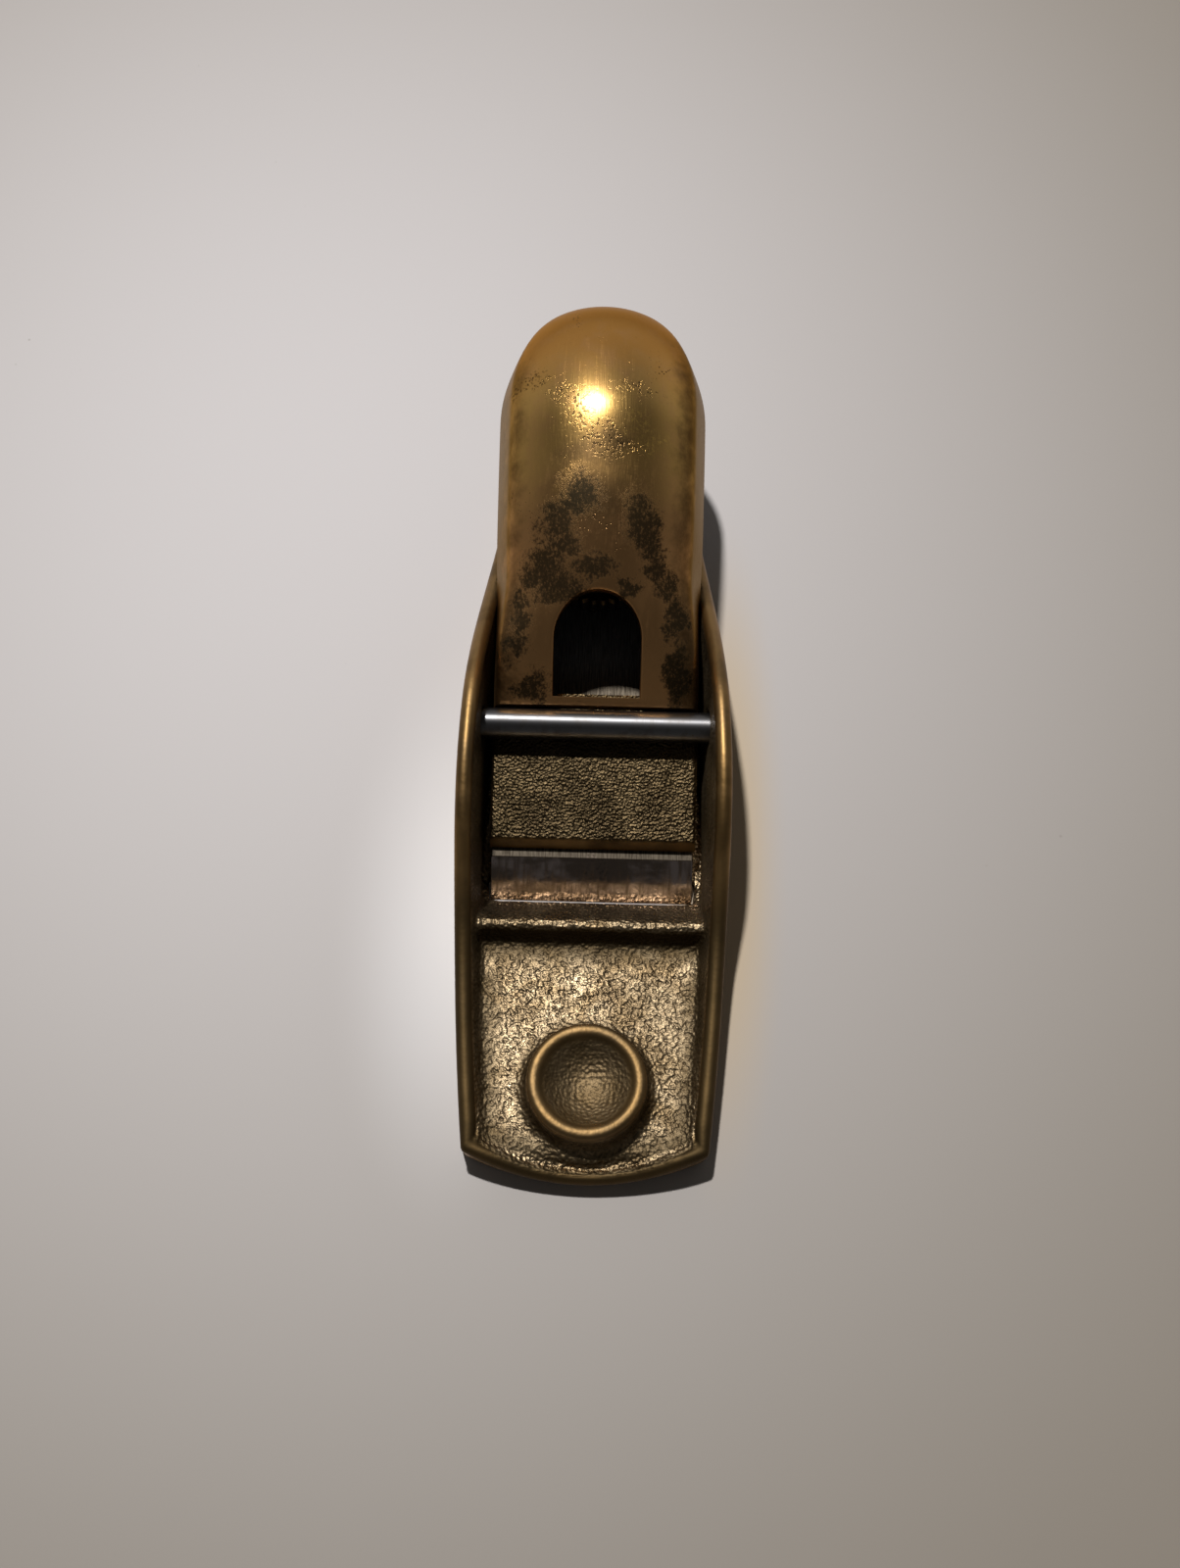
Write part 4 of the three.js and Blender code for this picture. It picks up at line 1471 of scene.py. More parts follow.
# Painted shade in the corners where the toe floor meets the walls.
CORNER_PAINTED_SHADE = Patch(0.66, (
    (By.PAST_FOOT, 4.6, -0.1), (By.INSET, 2.6, 3.4), *TOE_FLOOR))
RIB_CREST_GRIME = Patch(0.22, ((By.OFF_RIB, 2.2, 1.2), (By.ABOVE_RIB, -0.8, -0.3)))
# Painted shadow on the rib's front face and the toe floor just in front of it.
BEFORE_RIB_PAINTED_SHADOW = Patch(0.85, (
    (By.PAST_RIB, -6.5, -1.0), (By.PAST_RIB, 1.2, 0.7), (By.ABOVE_RIB, -0.3, -1.0),
    (By.INSET, 2.0, 2.6)))
# Patches that darken the casting: dirt on the rims, the rib's crest and the dish, and painted shade on
# the inner walls, in the corners, before the rib and round the dish's foot; the toe floor also darkens
# to the right.
GRIME_AND_PAINTED_SHADE = (
    WALL_PAINTED_SHADE, RIM_GRIME, DISH_FOOT_PAINTED_SHADE, RIGHTWARD_DARKENING, CORNER_PAINTED_SHADE, RIB_CREST_GRIME,
    BEFORE_RIB_PAINTED_SHADOW, Patch(0.60, (DISH_BOWL,)), Patch(0.30, DISH_RING),
)


@dataclass
class BodyCasting:
    """The bronze body: walls with a rounded rim, toe floor, finger dish, rib, mouth and bed."""

    finishes: Finishes
    sizes: PlaneSizes = SIZES
    bead: float = 1.28
    nose_bead: float = 0.7
    bead_grows: Span = (1.0, 9.0)
    nose_undercut: float = 0.9
    sole_edge: float = 0.45
    sole_corner: float = 0.12
    foot: float = 3.7
    nose_foot: float = 2.0
    fillet: float = 0.9
    fillet_ends: Span = (-34.0, -29.0)
    rib_from_nose: float = 39.3
    rib_top: float = 8.5
    rib_thickness: float = 1.3
    rib_foot: tuple[Point, ...] = ((-1.6, 0.0), (-0.75, 0.7))
    rib_front_edge: tuple[Point, ...] = ((-0.1, -0.45), (0.35, 0.0))
    rib_back_edge: tuple[Point, ...] = ((-0.2, 0.0), (0.35, -0.35))
    mouth_gap: float = 0.95
    mouth_height: float = 2.25
    mouth_width: float = 32.3
    mouth_round: float = 1.7
    bed_setback: float = 3.2
    bed_length: float = 67.0
    bed_sink: float = 0.2
    channel_width: float = 33.2
    channel_from_edge: float = 6.0
    blade_reach: float = 84.0
    blade_room: float = 0.24
    pocket_floor: float = 2.6
    pocket_slope: float = 2.4
    dish_from_nose: float = 14.2
    dish_radius: float = 9.1
    dish_ring: float = 1.12
    dish_ring_height: float = 0.66
    dish_height: float = 9.75
    dish_depth: float = 3.3
    dish_flare: float = 1.9
    dish_hollow: float = 2.2
    voxel: float = 0.42
    smoothings: int = 4
    worn_lip: Span = (1.3, 3.0)
    worn_lip_widens: Span = (2.0, 8.0)
    toe_ends: float = -31.0
    toe_sand: float = 0.07
    other_sand: float = 0.05
    bowl_sand_less: float = 0.6
    bowl_grain: float = 0.55
    nose_sand: float = 0.4
    nose_sand_fades: Span = (2.0, 5.0)

    def build(self) -> None:
        """Makes the casting as one skin and dresses it."""
        bore = rod(self.sizes.pin_radius + 0.1, 60.0, 0.1)
        laid_across(bore, self.sizes)
        walls = cut(cut(self._walls(), self._channel()), bore)
        base = cut(self._base(), self._mouth())
        bm = fused(gathered([walls, base, self._dish()]), self.voxel)
        axes = dict(use_axis_x=True, use_axis_y=True, use_axis_z=True)
        for _ in range(self.smoothings):
            bmesh.ops.smooth_vert(bm, verts=bm.verts, factor=0.5, **axes)
        self._true_rim(bm)
        self._settle_sole(bm)
        self._refine_toe(bm)
        self._clear_blade(bm)
        cast, grime_and_shade = self._weather(tidy(bm))
        finished(
            bm, "bronze_body", Body.CASTING, self.finishes.casting,
            ("body_casting",), 60.0, {"cast": cast, "grime_and_shade": grime_and_shade},
        )

    def _walls(self) -> BMesh:
        """Side walls, nose lip and heel as one ring with a rounded rim.

        Returns:
            The ring, closed all round.
        """
        floor, under = self._toe_floor, self.nose_undercut
        edge, corner = self.sole_edge, self.sole_corner
        knee, knee_height, waist = 0.8, 0.5, 0.45
        bead_steps = 12
        clear_of_floor = 0.2
        loops: list[tuple[float, float, Callable[[float], float]]] = [
            (edge, under + edge, lambda y: 0.0),
            (corner, under + corner, lambda y: corner),
            (0.0, knee * under, lambda y: knee_height),
            (0.0, waist * under, lambda y: waist * (RIM.height(y) - self._bead_at(y))),
            (0.0, 0.0, lambda y: RIM.height(y) - self._bead_at(y)),
        ]
        for k in range(1, bead_steps + 1):
            turn = math.pi * k / bead_steps
            share = 1.0 - math.cos(turn)
            loops.append((
                self.bead * share, self.nose_bead * share,
                lambda y, up=math.sin(turn): RIM.height(y) - self._bead_at(y) * (1.0 - up),
            ))
        top_in, nose_in = 2.0 * self.bead, 2.0 * self.nose_bead
        for share in (0.35, 0.7, 0.93):
            loops.append((
                blend(top_in, self.foot, share), blend(nose_in, self.nose_foot, share),
                lambda y, down=share: blend(
                    RIM.height(y) - self._bead_at(y), floor(y) + clear_of_floor, down
                ),
            ))
        for reach, drop in ((0.25, 0.12), (1.0, 0.0), (1.3, -0.5)):
            loops.append((
                self.foot + self.fillet * reach, self.nose_foot + self.fillet * reach,
                lambda y, drop=drop: floor(y) + drop,
            ))
        for height in (0.4, 0.0):
            loops.append((self.foot - 0.6, self.nose_foot, lambda y, height=height: height))
        rings = [self._ring(*loop) for loop in loops]
        skin = LoopSkin(rings[0])
        for ring in rings[1:]:
            skin.grow(ring)
        return tidy(skin.join_ends())

    def _ring(self, inset: float, lip: float, height: Callable[[float], float]) -> list[Vector]:
        """One loop of the walls; behind the rib the fillet at the foot fades out.

        Args:
            inset: distance drawn in from the sides and the heel.
            lip: distance drawn in from the nose.
            height: height of the loop by place along the plane.

        Returns:
            The loop's points.
        """
        points = []
        for (x, y), (plain_x, plain_y) in zip(
            OUTLINE.ring(inset, lip), OUTLINE.ring(min(inset, self.foot), min(lip, self.nose_foot))
        ):
            behind = smoothstep(*self.fillet_ends, y) if inset > self.foot else 0.0
            x, y = blend(x, plain_x, behind), blend(y, plain_y, behind)
            points.append(Vector((x, y, height(y))))
        return points

    def _bead_at(self, y: float) -> float:
        """Radius of the rounded rim at y: slimmer across the nose."""
        return blend(self.nose_bead, self.bead, smoothstep(*self.bead_grows, y - self.sizes.nose_y))

    def _toe_floor(self, y: float) -> float:
        """Height of the toe floor at y: it dips towards the nose."""
        dip = smoothstep(self.nose_foot, self.sizes.dip_from_nose, y - self.sizes.nose_y)
        return blend(self.sizes.nose_floor, self.sizes.toe_floor, dip)

    def _floor_height(self, y: float) -> float:
        """Height of the casting's inside: toe floor, rib, mouth, bed, heel pocket.

        Args:
            y: place along the plane.

        Returns:
            Height above the sole.
        """
        size = self.sizes
        rib = size.nose_y + self.rib_from_nose
        half = self.rib_thickness / 2.0
        bed_nose = size.on_bed(0.0, self.bed_setback, -self.bed_sink)
        bed_end = size.on_bed(0.0, self.bed_length, -self.bed_sink)
        line = [(size.nose_y, size.toe_floor)]
        line += [(rib - half + out, size.toe_floor + up) for out, up in self.rib_foot]
        line += [(rib - half + out, self.rib_top + up) for out, up in self.rib_front_edge]
        line += [(rib + half + out, self.rib_top + up) for out, up in self.rib_back_edge]
        line.append((size.edge_y - self.mouth_gap, self.mouth_height))
        line += [(bed_nose.y, bed_nose.z), (bed_end.y, bed_end.z)]
        line += [(bed_end.y + self.pocket_slope, self.pocket_floor), (size.heel_y, self.pocket_floor)]
        for (y0, z0), (y1, z1) in zip(line, line[1:]):
            if y <= y1:
                height = blend(z0, z1, (y - y0) / (y1 - y0))
                return height + self._toe_floor(y) - size.toe_floor
        return self.pocket_floor

    def _base(self) -> BMesh:
        """The block under the inside of the casting, from wall to wall.

        Returns:
            The block.
        """
        size = self.sizes
        inside, from_nose, from_heel = 1.6, 1.2, 2.6
        rows, columns = 330, 8
        sweep_reach, narrowest = 14.0, 3.5
        bm = bmesh.new()
        made = bmesh.ops.create_grid(bm, x_segments=columns, y_segments=rows, size=1.0)
        first, last = size.nose_y + from_nose, size.heel_y - from_heel
        for vertex in made["verts"]:
            across, share = vertex.co.x, (vertex.co.y + 1.0) / 2.0
            y = blend(first, last, share)
            near_nose = 1.0 - smoothstep(0.0, sweep_reach, y - first)
            width = OUTLINE.half_width(max(y, size.nose_y + narrowest)) - inside
            sweep = size.corner_setback * across * across * near_nose
            height = self._floor_height(y + sweep)
            vertex.co = Vector((across * width, y + sweep, height))
        made = bmesh.ops.extrude_face_region(bm, geom=list(bm.faces))
        for vertex in made["geom"]:
            if isinstance(vertex, BMVert):
                vertex.co.z = 0.0
        return tidy(bm)

    def _mouth(self) -> BMesh:
        """The slot through the sole, with its front corners rounded.

        Returns:
            The tool that cuts it.
        """
        size = self.sizes
        steps, below, above = 6, -5.0, 30.0
        half, radius = self.mouth_width / 2.0, self.mouth_round
        front = size.edge_y - self.mouth_gap
        back = size.on_bed(0.0, self.bed_setback, -self.bed_sink).y
        outline = [(half, back), (-half, back)]
        for side in (-1.0, 1.0):
            turns = range(steps + 1) if side < 0 else range(steps, -1, -1)
            for k in turns:
                turn = math.pi / 2.0 * k / steps
                x = side * (half - radius + radius * math.cos(turn))
                outline.append((x, front + radius - radius * math.sin(turn)))
        return slab(outline, below, above)

    def _channel(self) -> BMesh:
        """The tool that cuts the straight channel for the blade and the cap.

        Returns:
            The tool, lying on the bed.
        """
        past_heel, above = 110.0, 30.0
        half, start = self.channel_width / 2.0, self.channel_from_edge
        outline = [(-half, start), (half, start), (half, past_heel), (-half, past_heel)]
        return moved(slab(outline, -self.bed_sink, above), self.sizes.bed_matrix(0.0, 0.0))

    def _dish(self) -> BMesh:
        """The raised finger dish, turned, with a flared foot and a parting line on its side.

        Returns:
            The dish, in its place.
        """
        floor, top, flare = self.sizes.toe_floor, self.dish_height, self.dish_flare
        outer, ring, ring_height = self.dish_radius, self.dish_ring, self.dish_ring_height
        sunk, skirt, side = 1.7, 2.2, 0.12
        parting = ((0.14, 2.7), (-0.02, 2.9))
        flare_steps, ring_steps, bowl_steps = 5, 8, 14
        profile = [(0.0, floor - sunk), (outer + skirt, floor - sunk), (outer + skirt, floor - 0.1)]
        for k in range(flare_steps + 1):
            turn = math.pi / 2.0 * k / flare_steps
            reach = outer + side + flare * (1.0 - math.sin(turn))
            profile.append((reach, floor + flare * (1.0 - math.cos(turn))))
        profile += [(outer + out, floor + up) for out, up in parting]
        for k in range(ring_steps + 1):
            turn = math.pi * k / ring_steps
            reach = outer - ring + ring * math.cos(turn)
            profile.append((reach, top - ring_height * (1.0 - math.sin(turn))))
        bowl = outer - 2.0 * ring
        for k in range(1, bowl_steps + 1):
            share = 1.0 - k / bowl_steps
            drop = (self.dish_depth - ring_height) * (1.0 - share**self.dish_hollow)
            profile.append((bowl * share, top - ring_height - drop))
        bm = turned(profile, 96)
        centre = self.sizes.nose_y + self.dish_from_nose
        bmesh.ops.translate(bm, verts=bm.verts, vec=(0, centre, 0))
        return bm

    def _true_rim(self, bm: BMesh) -> None:
        """Brings the rim back to a true round after the smoothing.

        Args:
            bm: the fused casting.
        """
        step = 0.05
        lowest, held = -0.4, 0.1
        nearest, farthest = 0.55, 1.3
        for vertex in bm.verts:
            x, y, z = vertex.co
            bead = self._bead_at(y)
            up = z - RIM.height(y) + bead
            if up < lowest * bead:
                continue
            inset = OUTLINE.inset_at(x, y)
            across = inset - bead
            apart = math.hypot(across, up)
            if not nearest * bead < apart < farthest * bead:
                continue
            hold = smoothstep(lowest * bead, held * bead, up)
            pull = hold * (bead / apart - 1.0)
            inward_x = (OUTLINE.inset_at(x + step, y) - OUTLINE.inset_at(x - step, y)) / (2.0 * step)
            inward_y = (OUTLINE.inset_at(x, y + step) - OUTLINE.inset_at(x, y - step)) / (2.0 * step)
            vertex.co = Vector((
                x + pull * across * inward_x, y + pull * across * inward_y, z + pull * up,
            ))

    def _settle_sole(self, bm: BMesh) -> None:
        """Flattens the sole and dissolves its inner edges.

        Args:
            bm: the fused casting.
        """
        near_sole, on_sole = 0.14, 0.01
        straight_down, level, open_edge = -0.999, 0.002, 9.0
        for vertex in bm.verts:
            if vertex.co.z < near_sole:
                vertex.co.z = 0.0
        bm.normal_update()
        down = [f for f in bm.faces if f.normal.z < straight_down]
        sole = [f for f in down if f.calc_center_median().z < on_sole]
        inner = [e for e in {e for f in sole for e in f.edges} if e.calc_face_angle(open_edge) < level]
        bmesh.ops.dissolve_edges(bm, edges=inner, use_verts=True)

    def _refine_toe(self, bm: BMesh) -> None:
        """Halves the mesh of the toe floor and the dish, which carry the coarsest sand.

        Args:
            bm: the fused casting.
        """
        toe_end, lowest, inside, facing_up = -28.5, 1.0, 2.0, 0.1
        chosen = set()
        for face in bm.faces:
            middle = face.calc_center_median()
            within = OUTLINE.inset_at(middle.x, middle.y) > inside
            if middle.y < toe_end and middle.z > lowest and within and face.normal.z > facing_up:
                chosen.update(face.edges)
        bmesh.ops.subdivide_edges(bm, edges=list(chosen), cuts=1, use_grid_fill=True)

    def _weather(self, bm: BMesh) -> tuple[list[float], list[float]]:
        """Roughens the cast skin and works out its masks.

        Args:
            bm: the fused casting.

        Returns:
            How rough-cast the metal is, and how much dirt and painted shade darken it, for each vertex.
        """
        bm.normal_update()
        cast, grime_and_shade, moves = [], [], []
        for vertex in bm.verts:
            at = self._measures(vertex)
            rough = CAST_SKIN.strength(at)
            for patch in WORN:
                rough *= 1.0 - patch.strength(at)
            in_bowl = smoothstep(*DISH_BOWL[1:], at[By.PAST_DISH])
            deep = self.toe_sand if at[By.Y] < self.toe_ends else self.other_sand
            deep *= 1.0 - self.bowl_sand_less * in_bowl
            deep *= blend(self.nose_sand, 1.0, smoothstep(*self.nose_sand_fades, at[By.FROM_NOSE]))
            grain = blend(1.0, self.bowl_grain, in_bowl)
            cast.append(rough)
            grime_and_shade.append(max(patch.strength(at) for patch in GRIME_AND_PAINTED_SHADE))
            moves.append(vertex.normal * (sand(vertex.co, grain) * deep * rough))
        for vertex, move in zip(bm.verts, moves):
            vertex.co += move
        return cast, grime_and_shade

    def _measures(self, vertex: BMVert) -> dict[By, float]:
        """Where a vertex lies on the casting.

        Args:
            vertex: a vertex of the fused casting.

        Returns:
            Its measures.
        """
        x, y, z = vertex.co
        inset, below_rim = OUTLINE.inset_at(x, y), RIM.height(y) - z
        from_nose = y - self.sizes.nose_y
        past_dish = math.hypot(x, from_nose - self.dish_from_nose) - self.dish_radius
        past_rib = from_nose - self.rib_from_nose + self.rib_thickness / 2.0
        lip = blend(*self.worn_lip, smoothstep(*self.worn_lip_widens, from_nose))
        return {
            By.X: x, By.Y: y, By.Z: z, By.UP: vertex.normal.z, By.BACK: vertex.normal.y,
            By.INSET: inset, By.PAST_FOOT: inset - self.foot, By.PAST_LIP: inset - lip,
            By.BELOW_RIM: below_rim, By.BEADS_BELOW_RIM: below_rim / self._bead_at(y),
            By.FROM_NOSE: from_nose, By.PAST_DISH: past_dish,
            By.OFF_RING: abs(past_dish + self.dish_ring),
            By.OFF_RIB: abs(past_rib - self.rib_thickness / 2.0), By.PAST_RIB: past_rib,
            By.ABOVE_RIB: z - self.rib_top,
        }

    def _clear_blade(self, bm: BMesh) -> None:
        """Pushes the walls of the channel and the mouth clear of the blade's sides.

        Args:
            bm: the fused casting.
        """
        size = self.sizes
        into_bed = size.bed_matrix(0.0, 0.0).inverted()
        half = size.blade_width / 2.0
        nearest, clear = half - 0.6, half + self.blade_room
        first, mouth_end, top = -2.0, 2.0, 3.6
        in_mouth, over_bed, upright = -0.4, 0.06, 0.35
        bm.normal_update()
        for vertex in bm.verts:
            x, along, above = into_bed @ vertex.co
            wall = along < mouth_end or abs(vertex.normal.x) > upright
            low = in_mouth if wall else over_bed
            if nearest < abs(x) < clear and first < along < self.blade_reach and low < above < top:
                vertex.co.x = math.copysign(clear, x)


class HoodForm:
    """The hood's surface, by place along the bed and round its arch."""

    def __init__(self, sizes: PlaneSizes = SIZES) -> None:
        """Works the hood's ends out from the plane's sizes.

        Args:
            sizes: the plane's sizes.
        """
        self.sizes = sizes
        self.front_width, self.width = 32.5, 33.2
        self.front_crown, self.front_slope = 10.8, 0.9
        self.crest_at, self.crest = 70.5, 27.55
        self.swell_at, self.swell, self.swell_reach = 73.2, 0.42, 5.0
        self.narrows_at = 76.5
        self.turns_round = (3.0, 22.0)
        self.front_gap, self.rear_gap = 0.5, 5.6
        shoulder_y = sizes.pin_y + sizes.pin_radius + 0.15
        drop = (17.0 - sizes.edge_height) * math.sin(sizes.bed_angle)
        self.start = (shoulder_y - sizes.edge_y) * math.cos(sizes.bed_angle) + drop
        self.end_crown = sizes.blade_thickness + self.rear_gap
        self.end = sizes.reach(sizes.back_y, self.end_crown)

    def crown(self, along: float, inset: float) -> float:
        """Height of the hood's ridge.

        Args:
            along: place along the bed.
            inset: depth below the surface.

        Returns:
            Height above the blade's underside.
        """
        off = (along - self.swell_at) / self.swell_reach
        swell = self.swell * math.exp(-off * off) - inset
        if along <= self.crest_at:
            span = self.crest_at - self.start
            share = max(0.0, (along - self.start) / span)
            climb = self.front_slope * span
            return hermite(share, self.front_crown, climb, self.crest, 0.0) + swell
        share = min(1.0, (along - self.crest_at) / (self.end - inset - self.crest_at))
        fall = math.sqrt(1.0 - share * share)
        return self.end_crown + (self.crest - self.end_crown + swell) * fall

    def half(self, along: float, inset: float) -> float:
        """Half the hood's width.

        Args:
            along: place along the bed.
            inset: depth below the surface.

        Returns:
            Half the width.
        """
        swell = smoothstep(self.start, self.narrows_at, along)
        half = blend(self.front_width, self.width, swell) / 2.0 - inset
        if along <= self.narrows_at:
            return half
        share = min(1.0, (along - self.narrows_at) / (self.end - inset - self.narrows_at))
        return half * math.sqrt(1.0 - share * share)

    def skirt(self, along: float) -> float:
        """Height of the hood's lower edge."""
        rise = smoothstep(self.sizes.wheel_from_edge - 11.0, self.sizes.wheel_from_edge, along)
        return self.sizes.blade_thickness + blend(self.front_gap, self.rear_gap, rise)

    def arch(self, along: float, turn: float, inset: float) -> tuple[float, float]:
        """A point of the arch.

        Args:
            along: place along the bed.
            turn: place round the arch, from -1 at its left foot to 1 at its right.
            inset: depth below the surface.

        Returns:
            Its x and its height above the blade's underside.
        """
        knee, bend = 0.72, math.radians(56.0)
        dome_out, dome_fall, dome_flare = 0.86, 0.37, 0.85
        box_out, box_fall, box_round = 0.90, 0.05, 0.6
        share = abs(turn)
        if share <= knee:
            angle = bend * share / knee
            out = math.sin(angle) / math.sin(bend)
            fall = (1.0 - math.cos(angle)) / (1.0 - math.cos(bend))
            dome = (dome_out * out, 1.0 - dome_fall * fall)
            box = (box_out * share / knee, 1.0 - box_fall * (share / knee) ** 3)
        else:
            rest = (share - knee) / (1.0 - knee)
            down = math.pi / 2.0 * rest
            dome = (dome_out + (1.0 - dome_out) * rest**dome_flare, (1.0 - dome_fall) * (1.0 - rest))
            box = (box_out + (1.0 - box_out) * math.sin(down) ** box_round,
                   (1.0 - box_fall) * math.cos(down))
        rise = around(self.start, self.turns_round, along)
        low = self.skirt(along)
        high = max(0.0, self.crown(along, inset) - low)
        x = self.half(along, inset) * blend(box[0], dome[0], rise)
        return math.copysign(x, turn), low + high * blend(box[1], dome[1], rise)

    def height(self, x: float, along: float, inset: float) -> float:
        """Height of the surface over a point of the bed, found by halving.

        Args:
            x: place across the plane.
            along: place along the bed.
            inset: depth below the surface.

        Returns:
            Height above the blade's underside.
        """
        low, high = 0.0, 1.0
        for _ in range(24):
            middle = (low + high) / 2.0
            if self.arch(along, middle, inset)[0] < abs(x):
                low = middle
            else:
                high = middle
        return self.arch(along, low, inset)[1]


@dataclass
class LeverCap:
    """The lever cap: polished hood with its window, cast front plate and screw boss."""

    finishes: Finishes
    sizes: PlaneSizes = SIZES
    form: HoodForm = field(default_factory=HoodForm)
    wall: float = 2.6
    window_half: float = 6.8
    window_bar: float = 1.2
    window_length: float = 15.8
    window_side: float = 0.62
    plate_width: float = 32.3
    plate_from_nose: float = 53.7
    plate_front_height: float = 2.4
    plate_angle: float = math.radians(16.5)
    plate_lean: float = 0.5
    arch_steps: int = 52
    boss_radius: float = 5.6
    boss_height: float = 8.0
    boss_gap: float = 6.3

    def build(self) -> None:
        """Makes and dresses the three parts of the cap."""
        hood = self._hood()
        masks = {"cast": self._rough_side(hood), "inside": self._inner_side(hood)}
        finished(hood, "cap_hood", Body.CAP, self.finishes.hood,
                 ("lever_cap",), 40.0, masks)
        plate = self._plate()
        masks = {
            "cast": [smoothstep(0.0, 0.35, self._on_plate(v.co)) for v in plate.verts],
            "grime_and_shade": [0.0] * len(plate.verts),
        }
        finished(plate, "cap_plate", Body.CAP, self.finishes.plate,
                 (), 40.0, masks)
        radius, height = self.boss_radius, self.boss_height
        boss = turned([(0, 0), (radius, 0), (radius, height), (0, height)], 48)
        low = self.sizes.blade_thickness + self.boss_gap
        moved(boss, self.sizes.bed_matrix(self.sizes.wheel_from_edge, low))
        finished(boss, "cap_boss", Body.CAP, self.finishes.brass)

    def _section(self, along: float) -> list[Vector]:
        """A closed section of the hood's wall: outer arch one way, inner arch back.

        Args:
            along: place along the bed.

        Returns:
            The section's points.
        """
        steps = self.arch_steps
        turns = [2.0 * k / steps - 1.0 for k in range(steps + 1)]
        section = []
        for turn in turns:
            x, above = self.form.arch(along, turn, 0.0)
            section.append(self.sizes.on_bed(x, along, above))
        for turn in reversed(turns):
            x, above = self.form.arch(along, turn, self.wall)
            section.append(self.sizes.on_bed(x, along, min(above, self.form.crown(along, 0.0))))
        return section

    def _stations(self) -> list[float]:
        """Places along the bed of the hood's sections, closer at the end.

        Returns:
            The places.
        """
        start, end = self.form.start, self.form.end
        middle, front_steps, rest_steps = 50.0, 22, 44
        places = [start, start + 0.3, start + 0.6, start + 0.85]
        places += [blend(places[-1], middle, k / front_steps) for k in range(1, front_steps + 1)]
        for k in range(1, rest_steps + 1):
            places.append(middle + (end - middle) * math.sin(math.pi / 2.0 * k / rest_steps))
        return places

    def _hood(self) -> BMesh:
        """The hood as a hollow shell with its arched window.

        Returns:
            The shell.
        """
        stations = self._stations()
        skin = LoopSkin(self._section(stations[0]))
        grid = [skin.loop]
        for along in stations[1:]:
            skin.grow(self._section(along))
            grid.append(skin.loop)
        skin.close_ends()
        self._open_window(skin, grid, stations)
        return tidy(skin.bm, 2e-3)

    def _open_window(self, skin: LoopSkin, grid: list[list[BMVert]], stations: list[float]) -> None:
        """Cuts the window through both arches of the wall and rounds its edge.

        Args:
            skin: the hood's skin.
            grid: its loops of vertices, one for each station.
            stations: places of the loops along the bed.
        """
        count = self.arch_steps + 1
        hole_half, hole_room, near_front = 9.2, 2.2, 4
        outer_edge = ((0.75, 0.0), (0.4, 0.0), (0.2, 0.03), (0.07, 0.12), (0.0, 0.3), (0.0, 1.2))
        inner_edge = ((0.0, 0.5), (0.12, 0.15), (0.35, 0.0))
        reach = next(k for k in range(count) if grid[near_front][k].co.x > -hole_half)
        left, right = reach, count - 1 - reach
        top = self.form.start + self.window_length + hole_room
        first, last = 2, next(k for k, along in enumerate(stations) if along > top)
        doomed = set()
        last_column = 2 * count - 1
        for columns in (range(left, right), range(last_column - left - 1, last_column - right - 1, -1)):
            for row in range(first, last):
                for column in columns:
                    corners = (grid[row][column], grid[row][column + 1],
                               grid[row + 1][column + 1], grid[row + 1][column])
                    doomed.add(skin.bm.faces.get(corners))
        bmesh.ops.delete(skin.bm, geom=list(doomed), context="FACES")
        path = [(first, c) for c in range(left, right)] + [(r, right) for r in range(first, last)]
        path += [(last, c) for c in range(right, left, -1)]
        path += [(r, left) for r in range(last, first, -1)]
        shares = self._edge_shares(right - left, last - first)
        skin.take_up([grid[row][column] for row, column in path])
        for out, sink in outer_edge:
            skin.grow(self._window_ring(shares, out, 0.0, sink))
        for out, sink in inner_edge:
            skin.grow(self._window_ring(shares, out, self.wall, -sink))
        far = [grid[row][last_column - column] for row, column in path]
        bmesh.ops.bridge_loops(skin.bm, edges=skin.edges(skin.loop) + skin.edges(far))

    def _edge_shares(self, across: int, up: int) -> list[float]:
        """Places round the window's outline for each vertex of the hole's edge.

        Args:
            across: steps along each end of the hole.
            up: steps along each side.

        Returns:
            The places.
        """
        corners = [0.0, 1.0, 1.0 + self.window_side, 3.0 - self.window_side, 3.0]
        sides = zip(corners, corners[1:], (across, up, across, up))
        return [blend(start, end, k / steps) for start, end, steps in sides for k in range(steps)]

    def _window_ring(self, shares: list[float], out: float, depth: float, sink: float) -> list[Vector]:
        """A ring round the window, outside its edge by out and sunk below the surface.

        Args:
            shares: places round the outline.
            out: distance outside the window's edge.
            depth: depth of the surface in the wall.
            sink: depth below that surface.

        Returns:
            The ring's points.
        """
        half = self.window_half + out
        bottom = self.form.start + self.window_bar - out
        spring = self.form.start + self.window_length - self.window_half
        straight, quarter = spring - bottom, half * math.pi / 2.0
        ring = []
        for share in shares:
            if share <= 1.0:
                x, along = blend(-half, half, share), bottom
            else:
                run = (share - 1.0) if share <= 2.0 else (3.0 - share)
                length = run * (straight + quarter)
                side = 1.0 if share <= 2.0 else -1.0
                if length <= straight:
                    x, along = side * half, bottom + length
                else:
                    turn = (length - straight) / half
                    x, along = side * half * math.cos(turn), spring + half * math.sin(turn)
            above = self.form.height(x, along, depth) - sink
            ring.append(self.sizes.on_bed(x, along, above))
        return ring

